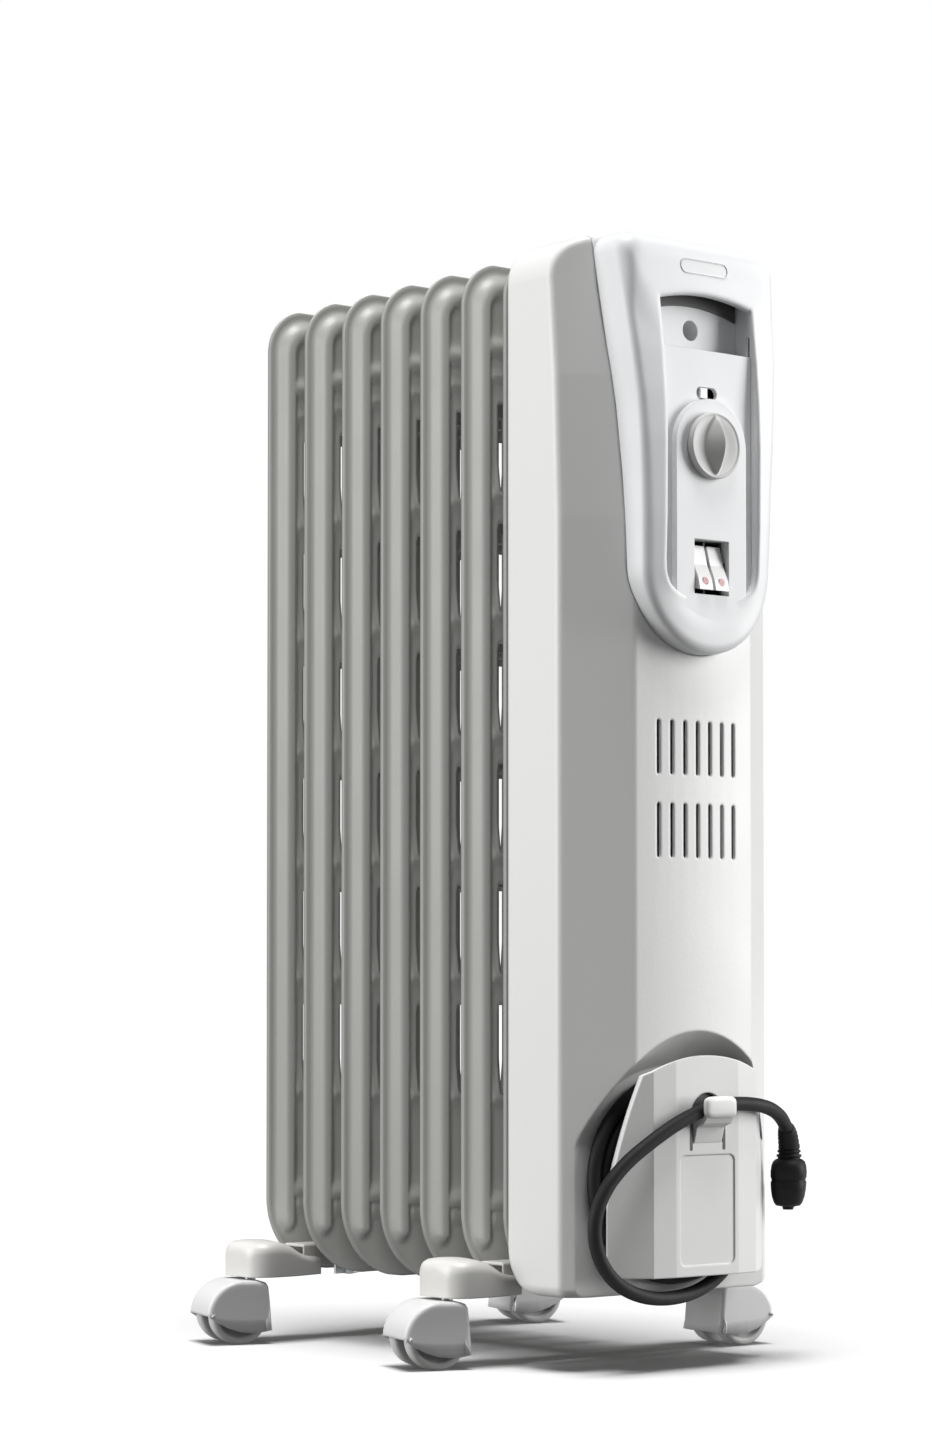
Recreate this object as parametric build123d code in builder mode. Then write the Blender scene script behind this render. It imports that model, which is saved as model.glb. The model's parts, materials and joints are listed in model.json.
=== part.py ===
"""Oil filled radiator heater: seven oil fins, a control casing, a cord winder and four twin-wheel casters.

Millimetres. +Z is up, the controls face -Y, and +X is to the right of someone facing them. The origin is
on the floor, at the middle of the heater's length and width.
"""

import os
from math import pi, radians, tan

from build123d import *

os.makedirs("parts", exist_ok=True)

# ---------------------------------------------------------------- driving dimensions
HEIGHT = 641.0
FRONT_Y = -170.0
REAR_Y = 170.0

FIN_COUNT = 7
FIN_PITCH = 38.0
FIN_REAR_Y = 162.0
FIN_HALF_WIDTH = 77.0
FIN_LOW = 40.0
FIN_HIGH = 639.0
FIN_TOP_RADIUS = 28.0
FIN_LOW_RADIUS = 46.0
SHEET = 1.0
CHANNEL_HALF_DEPTH = 6.5
CHANNEL_OUTER = 71.0
CHANNEL_WIDTH = 16.0
CHANNEL_LOW = 60.0
HEADER_LOW_Z = 90.0
HEADER_HIGH_Z = 590.0
COLLAR_RADIUS = 25.0
BORE_RADIUS = 20.0
SLIT_PITCH = 70.5
SLIT_HEIGHT = 53.0
SLIT_FIRST_Z = 152.0
SLIT_COUNT = 6
SLIT_INNER = 14.0
SLIT_OUTER = 50.0

CASING_HALF_WIDTH = 80.0
CASING_LOW = 42.0
CASING_REAR_Y = -73.5
BEVEL_SIDE_Y = -117.0
BEVEL_FRONT_X = 45.0
BEVEL_FRONT_Y = -142.5
CASING_FRONT_Y = -145.5
CASING_LEAN = 8.5
CASING_WALL = 1.6
TOP_CORNER_RADIUS = 24.0
LOW_CORNER_RADIUS = 26.0
UPRIGHT_RADIUS = 5.0
RECESS_FLOOR_Y = -122.4
RECESS_HALF_WIDTH = 76.0
RECESS_ARCH = 86.0
RECESS_FLOOR_ARCH = 64.0
VENT_COUNT = 7
VENT_PITCH = 9.6
VENT_WIDTH = 2.8
VENT_HEIGHT = 31.0
VENT_ROWS_Z = (351.0, 304.0)

BEZEL_HALF_WIDTH = 48.5
BEZEL_LOW = 404.0
BEZEL_CROWN_Y = -160.5
BEZEL_REAR_Y = -115.0
BEZEL_WALL = 3.0
SKIRT_Y = -124.0
OPENING_HALF_WIDTH = 35.0
OPENING_LOW = 420.0
LIP_LOW_SIDE_Z = 603.0
LIP_LOW_MID_Z = 608.0
PLATE_Y = -153.6
PLATE_THICKNESS = 2.5
PLATE_HIGH = 577.0
PLINTH_Y = -157.5
POCKET_BACK_Y = -140.0

KNOB_Z = 522.0
KNOB_RADIUS = 19.0
SHAFT_RADIUS = 3.0
ROCKER_Z = 453.0
ROCKER_WINDOW = (26.6, 31.0)
ROCKER_X = 6.2
ROCKER_WIDTH = 10.4
SLIDE_Z = 552.5
SLIDE_TRAVEL = 6.0
RUNNING_CLEARANCE = 0.05

BRACKET_FRONT_Y = FIN_REAR_Y - 5.5 * FIN_PITCH
BRACKET_REAR_Y = FIN_REAR_Y - 0.5 * FIN_PITCH
BRACKET_LOW = 40.0
BRACKET_HIGH = 61.0
BRACKET_END_X = 113.0
PAD_HALF_DEPTH = 22.0
STEM_X = 103.5
STEM_RADIUS = 3.5

WHEEL_RADIUS = 18.0
WHEEL_WIDTH = 10.5
WHEEL_GAP = 6.5
AXLE_RADIUS = 2.5
CASTER_TRAIL = 11.5
CASTER_TURN = 17.4
FRONT_RIGHT_TURN = 6.0
HOOD_HALF_WIDTH = 19.0
HOOD_RADIUS = 21.5
HOOD_WALL = 1.7

CORD_RADIUS = 4.0
COIL_X = -2.0
COIL_Y = -127.6
COIL_Z = 107.0
COIL_OUTER = (66.0, 61.0)
COIL_INNER = (31.8, 26.8)
COIL_FRONT_TURN = (41.0, 36.0)
COIL_LAYER = 8.4
COVER_LOW = 53.0
COVER_HIGH = 177.0
COVER_FRONT_Y = -153.0
COVER_CREASE = (39.5, -151.0)
COVER_RIM = (60.0, -135.0)
COVER_SHEET = 2.4


ON_BASE = (Align.CENTER, Align.CENTER, Align.MIN)
FACING_FRONT = (90, 0, 0)
FACING_REAR = (-90, 0, 0)


def save(part, name):
    """Label a finished piece and write its STEP file."""
    part.label = name
    export_step(part, f"parts/{name}.step")


def panel(half_width, low, high, low_radius, high_radius, y=0.0):
    """Upright rounded panel in the XZ plane at y, symmetric about x = 0."""
    with BuildSketch(Plane.XZ.offset(-y)) as face:
        with Locations((0, (low + high) / 2)):
            Rectangle(2 * half_width, high - low)
        rows = face.vertices().group_by(Axis.Y)
        if low_radius:
            fillet(rows[0], low_radius)
        if high_radius:
            rows = face.vertices().group_by(Axis.Y)
            fillet(rows[-1], high_radius)
    return face.sketch


def side_profile(points, half_width, rounds=()):
    """Solid as wide as half_width each side, cut to a closed outline in the YZ plane.

    Each round is (corner index, radius) of the outline's own points.
    """
    with BuildPart() as solid:
        with BuildSketch(Plane.YZ) as outline:
            with BuildLine():
                Polyline(*points, close=True)
            make_face()
            for index, radius in rounds:
                corner = outline.vertices().sort_by_distance(points[index])[0]
                fillet(corner, radius)
        extrude(amount=half_width, both=True)
    return solid.part


def tube_along(points, radius):
    """Round rod through straight runs joined by tangent arcs, and its path."""
    radii = corner_radii(points)
    with BuildPart() as rod:
        with BuildLine() as path:
            FilletPolyline(*points, radius=radii)
        start = path.line ^ 0
        with BuildSketch(Plane(origin=start.position, z_dir=start.z_axis.direction)):
            Circle(radius)
        sweep(path=path.line)
    return rod.part, path.wire(), radii


def corner_radii(points):
    """Radius of each corner's arc: 0.45 of the shorter run over the tangent of half the turn."""
    radii = []
    for before, here, after in zip(points, points[1:], points[2:]):
        run_in = Vector(here) - Vector(before)
        run_out = Vector(after) - Vector(here)
        half_turn = radians(run_in.get_angle(run_out)) / 2
        radii.append(0.45 * min(run_in.length, run_out.length) / tan(half_turn))
    return radii


# ---------------------------------------------------------------- oil fins
fin_planes = [FIN_REAR_Y - i * FIN_PITCH for i in range(FIN_COUNT)]
slit_rows = [SLIT_FIRST_Z + i * SLIT_PITCH + SLIT_HEIGHT / 2 for i in range(SLIT_COUNT)]


def channel_face(inset):
    """Oil channel of a fin: two outer columns joined over the top, cross bars and a middle column."""
    high = FIN_HIGH - 6 - inset
    inner = CHANNEL_OUTER - CHANNEL_WIDTH + inset
    with BuildSketch(Plane.XZ) as face:
        add(panel(CHANNEL_OUTER - inset, CHANNEL_LOW + inset, high, 6, FIN_TOP_RADIUS - 6))
        add(panel(inner, 0, high - CHANNEL_WIDTH + 2 * inset, 0, 8), mode=Mode.SUBTRACT)
        for z in (HEADER_LOW_Z, HEADER_HIGH_Z):
            with Locations((0, z)):
                Rectangle(2 * inner + 2, CHANNEL_WIDTH - 2 * inset)
                Circle(COLLAR_RADIUS + 4 - inset)
        with Locations((0, (HEADER_LOW_Z + HEADER_HIGH_Z) / 2)):
            Rectangle(18 - 2 * inset, HEADER_HIGH_Z - HEADER_LOW_Z)
    return face.sketch


def make_fin(y):
    """One hollow fin standing on the plane y, open to the headers through its bores."""
    with BuildPart() as fin:
        extrude(panel(FIN_HALF_WIDTH, FIN_LOW, FIN_HIGH, FIN_LOW_RADIUS, FIN_TOP_RADIUS), SHEET, both=True)
        extrude(channel_face(0), CHANNEL_HALF_DEPTH, both=True)
        with BuildSketch(Plane.XZ):
            for side in (-1, 1):
                with Locations(*[(side * (SLIT_INNER + SLIT_OUTER) / 2, z) for z in slit_rows]):
                    RectangleRounded(SLIT_OUTER - SLIT_INNER, SLIT_HEIGHT, 4)
        extrude(amount=SHEET + 1, both=True, mode=Mode.SUBTRACT)
        extrude(channel_face(1.2), CHANNEL_HALF_DEPTH - 1.2, both=True, mode=Mode.SUBTRACT)
        with Locations(*[(0, 0, z) for z in (HEADER_LOW_Z, HEADER_HIGH_Z)]):
            Cylinder(BORE_RADIUS, 60, rotation=FACING_FRONT, mode=Mode.SUBTRACT)
    return fin.part.moved(Location((0, y, 0)))


for number, plane_y in enumerate(fin_planes, start=1):
    save(make_fin(plane_y), f"fin_{number}")

# Header collars: a short tube between each pair of fins, low and high.
with BuildPart() as header_collars:
    for plane_y in fin_planes[1:]:
        with Locations(*[(0, plane_y + CHANNEL_HALF_DEPTH, z) for z in (HEADER_LOW_Z, HEADER_HIGH_Z)]):
            Cylinder(COLLAR_RADIUS, FIN_PITCH - 2 * CHANNEL_HALF_DEPTH, rotation=FACING_REAR, align=ON_BASE)
    with Locations(*[(0, fin_planes[0], z) for z in (HEADER_LOW_Z, HEADER_HIGH_Z)]):
        Cylinder(BORE_RADIUS, FIN_COUNT * FIN_PITCH, rotation=FACING_FRONT, align=ON_BASE, mode=Mode.SUBTRACT)
save(header_collars.part, "header_collars")

rear_collar_y = FIN_REAR_Y + CHANNEL_HALF_DEPTH
front_collar_y = fin_planes[-1] - CHANNEL_HALF_DEPTH


def make_cap(y, z, facing):
    """Header plug: a disc on the collar's end and a spigot inside the bore."""
    with BuildPart() as cap:
        with Locations((0, y, z)):
            Cylinder(COLLAR_RADIUS - 1, REAR_Y - rear_collar_y, rotation=facing, align=ON_BASE)
            inward = FACING_FRONT if facing == FACING_REAR else FACING_REAR
            Cylinder(BORE_RADIUS - 0.1, 8, rotation=inward, align=ON_BASE)
    return cap.part


save(make_cap(rear_collar_y, HEADER_LOW_Z, FACING_REAR), "header_cap_lower")
save(make_cap(rear_collar_y, HEADER_HIGH_Z, FACING_REAR), "header_cap_upper")
save(make_cap(front_collar_y, HEADER_HIGH_Z, FACING_FRONT), "header_cap_front")

# Tubular heating element: two hairpins inside the lower header, held by a flange on the front collar.
FLANGE_THICKNESS = 4.0
ELEMENT_RADIUS = 4.0
ELEMENT_REACH = 150.0
with BuildPart() as element_flange:
    with Locations((0, front_collar_y, HEADER_LOW_Z)):
        Cylinder(COLLAR_RADIUS - 1, FLANGE_THICKNESS, rotation=FACING_FRONT, align=ON_BASE)
    leg_places = [(x, front_collar_y - FLANGE_THICKNESS, HEADER_LOW_Z + z) for x in (-10, 10) for z in (-10, 10)]
    with Locations(*leg_places):
        Cylinder(ELEMENT_RADIUS, 3 * FLANGE_THICKNESS, rotation=FACING_REAR, mode=Mode.SUBTRACT, align=ON_BASE)
save(element_flange.part, "element_flange")

with BuildPart() as heating_element:
    for z in (-10, 10):
        with Locations(*[(x, front_collar_y - 12, HEADER_LOW_Z + z) for x in (-10, 10)]):
            Cylinder(ELEMENT_RADIUS, 12 + ELEMENT_REACH, rotation=FACING_REAR, align=ON_BASE)
        with BuildSketch(Plane.XZ.offset(-front_collar_y - ELEMENT_REACH)):
            with Locations((10, HEADER_LOW_Z + z)):
                Circle(ELEMENT_RADIUS)
        revolve(
            axis=Axis((0, front_collar_y + ELEMENT_REACH, HEADER_LOW_Z), (0, 0, 1)),
            revolution_arc=180,
        )
save(heating_element.part, "heating_element")

# ---------------------------------------------------------------- control casing
def casing_plan(inset, z, lean):
    """Casing outline at height z, seen from above, its front moved back by lean."""
    half = CASING_HALF_WIDTH - inset
    shift = lean + inset
    bevel_x = BEVEL_FRONT_X - 0.4 * inset
    rear = CASING_REAR_Y + (5 if inset else 0)
    with BuildSketch(Plane.XY.offset(z)) as plan:
        with BuildLine():
            side = BEVEL_SIDE_Y + shift
            front = BEVEL_FRONT_Y + shift
            Polyline(
                (-bevel_x, front), (-half, side), (-half, rear), (half, rear), (half, side), (bevel_x, front)
            )
            ThreePointArc((bevel_x, front), (0, CASING_FRONT_Y + shift), (-bevel_x, front))
        make_face()
    return plan.sketch


def casing_body(inset):
    """Outer body of the casing with its uprights rounded, or its hollow when inset by the wall."""
    low = CASING_LOW + inset
    high = HEIGHT - inset
    rear = CASING_REAR_Y + (5 if inset else 0)
    half = CASING_HALF_WIDTH - inset
    with BuildPart() as body:
        sections = [
            casing_plan(inset, z, lean)
            for z, lean in ((low, 0.0), (480, 0.0), (560, 0.3 * CASING_LEAN), (high, CASING_LEAN))
        ]
        loft(sections, ruled=True)
        extrude(panel(half, low, high, 6, TOP_CORNER_RADIUS), amount=200, both=True, mode=Mode.INTERSECT)
    outline = [(rear, low), (rear, high), (-160, high), (-160, low)]
    rounds = () if inset else ((0, LOW_CORNER_RADIUS), (1, 14))
    shaped = body.part & side_profile(outline, half + 1, rounds)
    if inset:
        return shaped
    uprights = [
        edge for edge in shaped.edges()
        if edge.center().Y < BEVEL_SIDE_Y + 8 and edge.length > 50 and abs(edge.tangent_at(0.5).Z) > 0.9
    ]
    return shaped.fillet(UPRIGHT_RADIUS, uprights)


def recess_tool(grow):
    """Arched pocket for the cord winder, its wall sloping from the front down to the floor."""
    with BuildPart() as tool:
        for y, arch in ((-148.0, RECESS_ARCH), (RECESS_FLOOR_Y + grow, RECESS_FLOOR_ARCH)):
            with BuildSketch(Plane.XZ.offset(-y)):
                with Locations((0, COIL_Z)):
                    Ellipse(RECESS_HALF_WIDTH + grow, arch + grow)
                    Rectangle(2 * (RECESS_HALF_WIDTH + grow), 2 * COIL_Z, align=(Align.CENTER, Align.MAX))
        loft(ruled=True)
    return tool.part


def bezel_outline(inset):
    """Front outline of the control bezel: round at the bottom and flaring towards the top."""
    radius = BEZEL_HALF_WIDTH - inset
    centre_z = BEZEL_LOW + BEZEL_HALF_WIDTH
    flare = [(1.6, 504), (3.8, 543), (7.0, 577), (10.5, 624), (11.5, 645)]
    with BuildSketch(Plane.XZ) as outline:
        with BuildLine():
            RadiusArc((-radius, centre_z), (radius, centre_z), -radius)
            Spline((radius, centre_z), *[(radius + dx, z) for dx, z in flare], tangents=((0, 1), (0.1, 1)))
            Line((radius + flare[-1][0], flare[-1][1]), (-radius - flare[-1][0], flare[-1][1]))
            Spline((-radius, centre_z), *[(-radius - dx, z) for dx, z in flare], tangents=((0, 1), (-0.1, 1)))
        make_face()
    return outline.sketch


def bezel_body(inset):
    """Envelope of the control bezel: the front outline cut to a side profile that wraps over the top."""
    with BuildPart() as envelope:
        extrude(bezel_outline(inset), amount=180)
    front = BEZEL_CROWN_Y + inset
    outline = [
        (BEZEL_REAR_Y, 380), (front, 380), (front, 530), (front + 2.5, 572), (-153.5 + inset, 603),
        (-151 + inset, 641 - inset), (BEZEL_REAR_Y, 641 - inset),
    ]
    return envelope.part & side_profile(outline, 75, ((5, 13 - inset), (4, 40), (3, 60), (2, 60)))


outer_body = casing_body(0)
with BuildPart() as casing:
    add(outer_body)
    add(casing_body(CASING_WALL), mode=Mode.SUBTRACT)
with BuildPart() as recess_pan:
    add(outer_body)
    add(recess_tool(CASING_WALL), mode=Mode.INTERSECT)
with BuildPart() as casing_shell:
    add(casing.part)
    add(recess_pan.part)
    add(recess_tool(0), mode=Mode.SUBTRACT)
    add(bezel_body(-0.3), mode=Mode.SUBTRACT)
    with BuildSketch(Plane.XZ.offset(120)):
        for row_z in VENT_ROWS_Z:
            with Locations((0, row_z)):
                with GridLocations(VENT_PITCH, 0, VENT_COUNT, 1):
                    SlotOverall(VENT_HEIGHT, VENT_WIDTH, rotation=90)
    extrude(amount=40, mode=Mode.SUBTRACT)
save(casing_shell.part, "casing")

# ---------------------------------------------------------------- control bezel, plate and grip pocket
def opening_outline(grow, high):
    """Outline of the hollow inside the bezel's frame, up to a given height."""
    radius = OPENING_HALF_WIDTH + grow
    centre_z = OPENING_LOW + OPENING_HALF_WIDTH
    with BuildSketch(Plane.XZ) as outline:
        with Locations((0, centre_z)):
            Circle(radius)
        with Locations((0, (centre_z + high) / 2)):
            Rectangle(2 * radius, high - centre_z)
    return outline.sketch


def lip_edge(grow):
    """Everything below the arched lower edge of the grip's lip."""
    half = OPENING_HALF_WIDTH + 15
    with BuildSketch(Plane.XZ) as below:
        with BuildLine():
            Polyline((-half, LIP_LOW_SIDE_Z - grow), (-half, 380), (half, 380), (half, LIP_LOW_SIDE_Z - grow))
            ThreePointArc((half, LIP_LOW_SIDE_Z - grow), (0, LIP_LOW_MID_Z - grow), (-half, LIP_LOW_SIDE_Z - grow))
        make_face()
    return below.sketch


envelope = bezel_body(0)
with BuildPart() as opening:
    extrude(opening_outline(0, 615), amount=180)
    extrude(lip_edge(0), amount=180, mode=Mode.INTERSECT)
with BuildPart() as inner_wall:
    extrude(opening_outline(2.5, 620), amount=180)
    add(envelope, mode=Mode.INTERSECT)
    add(side_profile([(PLATE_Y + 3, 380), (-180, 380), (-180, 606), (PLATE_Y + 3, 606)], 75), mode=Mode.INTERSECT)
with BuildPart() as control_bezel:
    add(envelope)
    add(bezel_body(BEZEL_WALL), mode=Mode.SUBTRACT)
    add(side_profile([(BEZEL_REAR_Y - 3, 380), (-100, 380), (-100, 650), (BEZEL_REAR_Y - 3, 650)], 75),
        mode=Mode.SUBTRACT)
    add(side_profile([(SKIRT_Y, 380), (-100, 380), (-100, 600), (SKIRT_Y, 600)], 75), mode=Mode.SUBTRACT)
    add(inner_wall.part)
    add(opening.part, mode=Mode.SUBTRACT)
save(control_bezel.part, "control_bezel")

window_width, window_height = ROCKER_WINDOW
with BuildPart() as face_plate:
    extrude(opening_outline(-0.3, PLATE_HIGH), amount=-PLATE_Y)
    add(side_profile([(PLATE_Y + PLATE_THICKNESS, 380), (0, 380), (0, 640), (PLATE_Y + PLATE_THICKNESS, 640)], 75),
        mode=Mode.SUBTRACT)
    with BuildSketch(Plane.XZ.offset(-PLATE_Y)) as plinth:
        with Locations((0, KNOB_Z)):
            Circle(27)
        with Locations((0, (KNOB_Z + OPENING_LOW) / 2)):
            Rectangle(54, KNOB_Z - OPENING_LOW)
        add(opening_outline(-1.2, 560).moved(Location((0, PLATE_Y, 0))), mode=Mode.INTERSECT)
    extrude(amount=PLATE_Y - PLINTH_Y)
    with BuildSketch(Plane.XZ.offset(-PLATE_Y - 5)):
        with Locations((0, KNOB_Z)):
            Circle(SHAFT_RADIUS + 0.5)
        with Locations((0, ROCKER_Z)):
            Rectangle(window_width, window_height)
        with Locations((0, SLIDE_Z)):
            SlotOverall(15.7, 7)
    extrude(amount=20, both=True, mode=Mode.SUBTRACT)
save(face_plate.part, "face_plate")

# Grip pocket: a tub behind the lip, with a screw hole in its back.
POCKET_HALF_WIDTH = 36.0
POCKET_SHEET = 1.5
with BuildPart() as handle_insert:
    pocket_depth = PLATE_Y + PLATE_THICKNESS + 0.9
    with Locations((0, (pocket_depth + POCKET_BACK_Y) / 2 + POCKET_SHEET / 2, (576.5 + 634) / 2)):
        Box(2 * (POCKET_HALF_WIDTH + POCKET_SHEET), POCKET_BACK_Y + POCKET_SHEET - pocket_depth, 634 - 576.5)
    with Locations((0, (pocket_depth + POCKET_BACK_Y) / 2 - 1, (578 + 632.5) / 2)):
        Box(2 * POCKET_HALF_WIDTH, POCKET_BACK_Y - pocket_depth + 2, 632.5 - 578, mode=Mode.SUBTRACT)
    add(bezel_body(BEZEL_WALL + 0.4), mode=Mode.INTERSECT)
    with Locations((0, POCKET_BACK_Y + POCKET_SHEET, 590.5)):
        Cylinder(7.5, 12, rotation=FACING_REAR, align=ON_BASE)
        Cylinder(5.75, 11, rotation=FACING_REAR, align=ON_BASE, mode=Mode.SUBTRACT)
    with Locations((0, POCKET_BACK_Y - 1, 590.5)):
        Cylinder(5.75, 4, rotation=FACING_REAR, align=ON_BASE, mode=Mode.SUBTRACT)
save(handle_insert.part, "handle_insert")

# ---------------------------------------------------------------- knob, thermostat and switches
KNOB_BACK_Y = PLINTH_Y - 0.5
KNOB_FACE_Y = -161.5
GRIP_HALF_LENGTH = 17.0
GRIP_HALF_WIDTH = 7.5
GRIP_DEPTH = KNOB_FACE_Y - FRONT_Y
with BuildPart() as thermostat_knob:
    with Locations((0, KNOB_BACK_Y, KNOB_Z)):
        Cylinder(KNOB_RADIUS, KNOB_BACK_Y - KNOB_FACE_Y, rotation=FACING_FRONT, align=ON_BASE)
    chamfer(thermostat_knob.faces().sort_by(Axis.Y)[0].edges(), 1)
    with BuildSketch(Plane.XZ.offset(-KNOB_FACE_Y)):
        grip_ends = ((0, KNOB_Z - GRIP_HALF_LENGTH), (0, KNOB_Z + GRIP_HALF_LENGTH))
        with BuildLine():
            ThreePointArc(grip_ends[0], (GRIP_HALF_WIDTH, KNOB_Z), grip_ends[1])
            ThreePointArc(grip_ends[1], (-GRIP_HALF_WIDTH, KNOB_Z), grip_ends[0])
        make_face()
    extrude(amount=GRIP_DEPTH)
    with BuildSketch(Plane.YZ):
        with BuildLine():
            ThreePointArc(
                (KNOB_FACE_Y, KNOB_Z - GRIP_HALF_LENGTH), (FRONT_Y, KNOB_Z), (KNOB_FACE_Y, KNOB_Z + GRIP_HALF_LENGTH)
            )
            Polyline(
                (KNOB_FACE_Y, KNOB_Z + GRIP_HALF_LENGTH), (KNOB_FACE_Y, KNOB_Z + 30), (KNOB_BACK_Y, KNOB_Z + 30),
                (KNOB_BACK_Y, KNOB_Z - 30), (KNOB_FACE_Y, KNOB_Z - 30), (KNOB_FACE_Y, KNOB_Z - GRIP_HALF_LENGTH),
            )
        make_face()
    extrude(amount=30, both=True, mode=Mode.INTERSECT)
    with Locations((0, KNOB_BACK_Y + 1, KNOB_Z)):
        Cylinder(SHAFT_RADIUS, 5, rotation=FACING_FRONT, align=ON_BASE, mode=Mode.SUBTRACT)
save(thermostat_knob.part, "thermostat_knob")

BUSH_FRONT_Y = -149.0
with BuildPart() as thermostat_shaft:
    with Locations((0, KNOB_BACK_Y - 4, KNOB_Z)):
        Cylinder(SHAFT_RADIUS, 24, rotation=FACING_REAR, align=ON_BASE)
save(thermostat_shaft.part, "thermostat_shaft")

with BuildPart() as thermostat_body:
    with Locations((0, BUSH_FRONT_Y, KNOB_Z)):
        Cylinder(6, 5, rotation=FACING_REAR, align=ON_BASE)
    with Locations((0, BUSH_FRONT_Y + 5 + 11, KNOB_Z)):
        Box(34, 22, 30)
    with Locations((0, BUSH_FRONT_Y - 1, KNOB_Z)):
        Cylinder(SHAFT_RADIUS + RUNNING_CLEARANCE, 18, rotation=FACING_REAR, align=ON_BASE, mode=Mode.SUBTRACT)
save(thermostat_body.part, "thermostat_body")

# Each rocker is a bent bar on a cross pin; the lower end stands proud while the upper end is in.
PIVOT_Y = -151.5
ROCKER_SWING = 16.0
PIN_RADIUS = 1.2
rocker_half = ROCKER_WIDTH / 2


def rocker_outline(front_low, front_high):
    """Side outline of a rocker: a V-shaped front with its pivot behind the middle."""
    return [
        (PIVOT_Y + 3.0, ROCKER_Z - 11), (front_low, ROCKER_Z - 13.2), (front_low + 1.2, ROCKER_Z - 7),
        (PIVOT_Y - 3.4, ROCKER_Z + 1.5), (front_high, ROCKER_Z + 12.6), (PIVOT_Y + 2.0, ROCKER_Z + 11),
        (PIVOT_Y + 4.5, ROCKER_Z),
    ]


for side, label in ((-1, "left"), (1, "right")):
    with BuildPart() as rocker:
        add(side_profile(rocker_outline(-160.0, PIVOT_Y - 0.5), rocker_half).moved(Location((side * ROCKER_X, 0, 0))))
        with Locations((side * ROCKER_X, PIVOT_Y, ROCKER_Z)):
            Cylinder(PIN_RADIUS, ROCKER_WIDTH + 1.6, rotation=(0, 90, 0))
        with Locations((side * ROCKER_X, -161, ROCKER_Z - 8.2)):
            Cylinder(2.2, 4.0, rotation=FACING_REAR, align=ON_BASE, mode=Mode.SUBTRACT)
    save(rocker.part, f"rocker_{label}")
    with BuildPart() as lens:
        with Locations((side * ROCKER_X, -159.3, ROCKER_Z - 8.2)):
            Cylinder(2.15, 2.2, rotation=FACING_REAR, align=ON_BASE)
    save(lens.part, f"rocker_lens_{label}")

with BuildPart() as switch_body:
    with Locations((0, -142.0, ROCKER_Z)):
        Box(28.6, 18, 33)
    with Locations(*[(side * ROCKER_X, -145.5, ROCKER_Z) for side in (-1, 1)]):
        Box(ROCKER_WIDTH + 0.6, 16, 30, mode=Mode.SUBTRACT)
    with Locations(*[(side * ROCKER_X, -151.0, ROCKER_Z) for side in (-1, 1)]):
        Box(ROCKER_WIDTH + 0.6, 10, 30, mode=Mode.SUBTRACT)
    with Locations(*[(x, PIVOT_Y - 0.5, ROCKER_Z) for x in (-12.5, 0, 12.5)]):
        Box(1.2, 5, 7)
    with Locations((0, PIVOT_Y, ROCKER_Z)):
        Cylinder(PIN_RADIUS + RUNNING_CLEARANCE, 30, rotation=(0, 90, 0), mode=Mode.SUBTRACT)
save(switch_body.part, "switch_body")

with BuildPart() as slide_button:
    with Locations((-SLIDE_TRAVEL / 2, -152.4, SLIDE_Z)):
        Box(5.4, 4.4, 5.8)
    with Locations((-SLIDE_TRAVEL / 2, -149.4, SLIDE_Z)):
        Box(11, 1.6, 8.4)
save(slide_button.part, "slide_button")

with BuildPart() as slide_switch_body:
    with Locations((0, -142.6, SLIDE_Z)):
        Box(26, 11.4, 13)
    with Locations((0, -149, SLIDE_Z)):
        Box(22, 3.4, 9, mode=Mode.SUBTRACT)
save(slide_switch_body.part, "slide_switch_body")

# ---------------------------------------------------------------- behind the casing
CHASSIS_Y = -86.0
with BuildPart() as chassis_plate:
    with Locations((0, CHASSIS_Y, 345)):
        Box(140, 1.5, 540)
    with Locations((0, CHASSIS_Y, HEADER_LOW_Z)):
        Cylinder(COLLAR_RADIUS + 2, 4, rotation=FACING_FRONT, mode=Mode.SUBTRACT)
    with Locations((0, CHASSIS_Y + 0.75, HEADER_HIGH_Z)):
        Cylinder(10, abs(CHASSIS_Y + 0.75 - front_collar_y) - 1.5, rotation=FACING_REAR, align=ON_BASE)
    for x in (-30, 30):
        for z in (150, 530):
            with Locations((x, CHASSIS_Y - 0.75, z)):
                Cylinder(3, 20, rotation=FACING_FRONT, align=ON_BASE)
save(chassis_plate.part, "chassis_plate")

with BuildPart() as thermal_cutout:
    with Locations((25, CHASSIS_Y - 0.75, 430)):
        Cylinder(8, 6, rotation=FACING_FRONT, align=ON_BASE)
        Cylinder(4, 9, rotation=FACING_FRONT, align=ON_BASE)
save(thermal_cutout.part, "thermal_cutout")

with BuildPart() as terminal_block:
    with Locations((0, CHASSIS_Y - 0.75 - 8, 245)):
        Box(46, 16, 22)
    with Locations((0, CHASSIS_Y - 0.75 - 16, 245)):
        with GridLocations(15, 1, 3, 1):
            Cylinder(3.5, 5, rotation=FACING_REAR, align=ON_BASE, mode=Mode.SUBTRACT)
save(terminal_block.part, "terminal_block")

WIRE_RADIUS = 1.4
wire_routes = [
    [(x, -101, 258), (x, -104, 300), (x * 1.6, -112, 360), (x * 1.6, -118, 432)] for x in (-12, 12)
] + [
    [(x, -101, 232), (x, -106, 205), (x * 0.8, -112, 170), (x * 0.8, -108, 125), (x * 0.8, -92, 104)]
    for x in (-12, 12)
]
with BuildPart() as internal_wiring:
    for route in wire_routes:
        add(tube_along(route, WIRE_RADIUS)[0])
save(internal_wiring.part, "internal_wiring")

# ---------------------------------------------------------------- cord winder
HUB_SEMI_AXES = (31.0, 26.0)
HUB_WALL = 2.2


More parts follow.
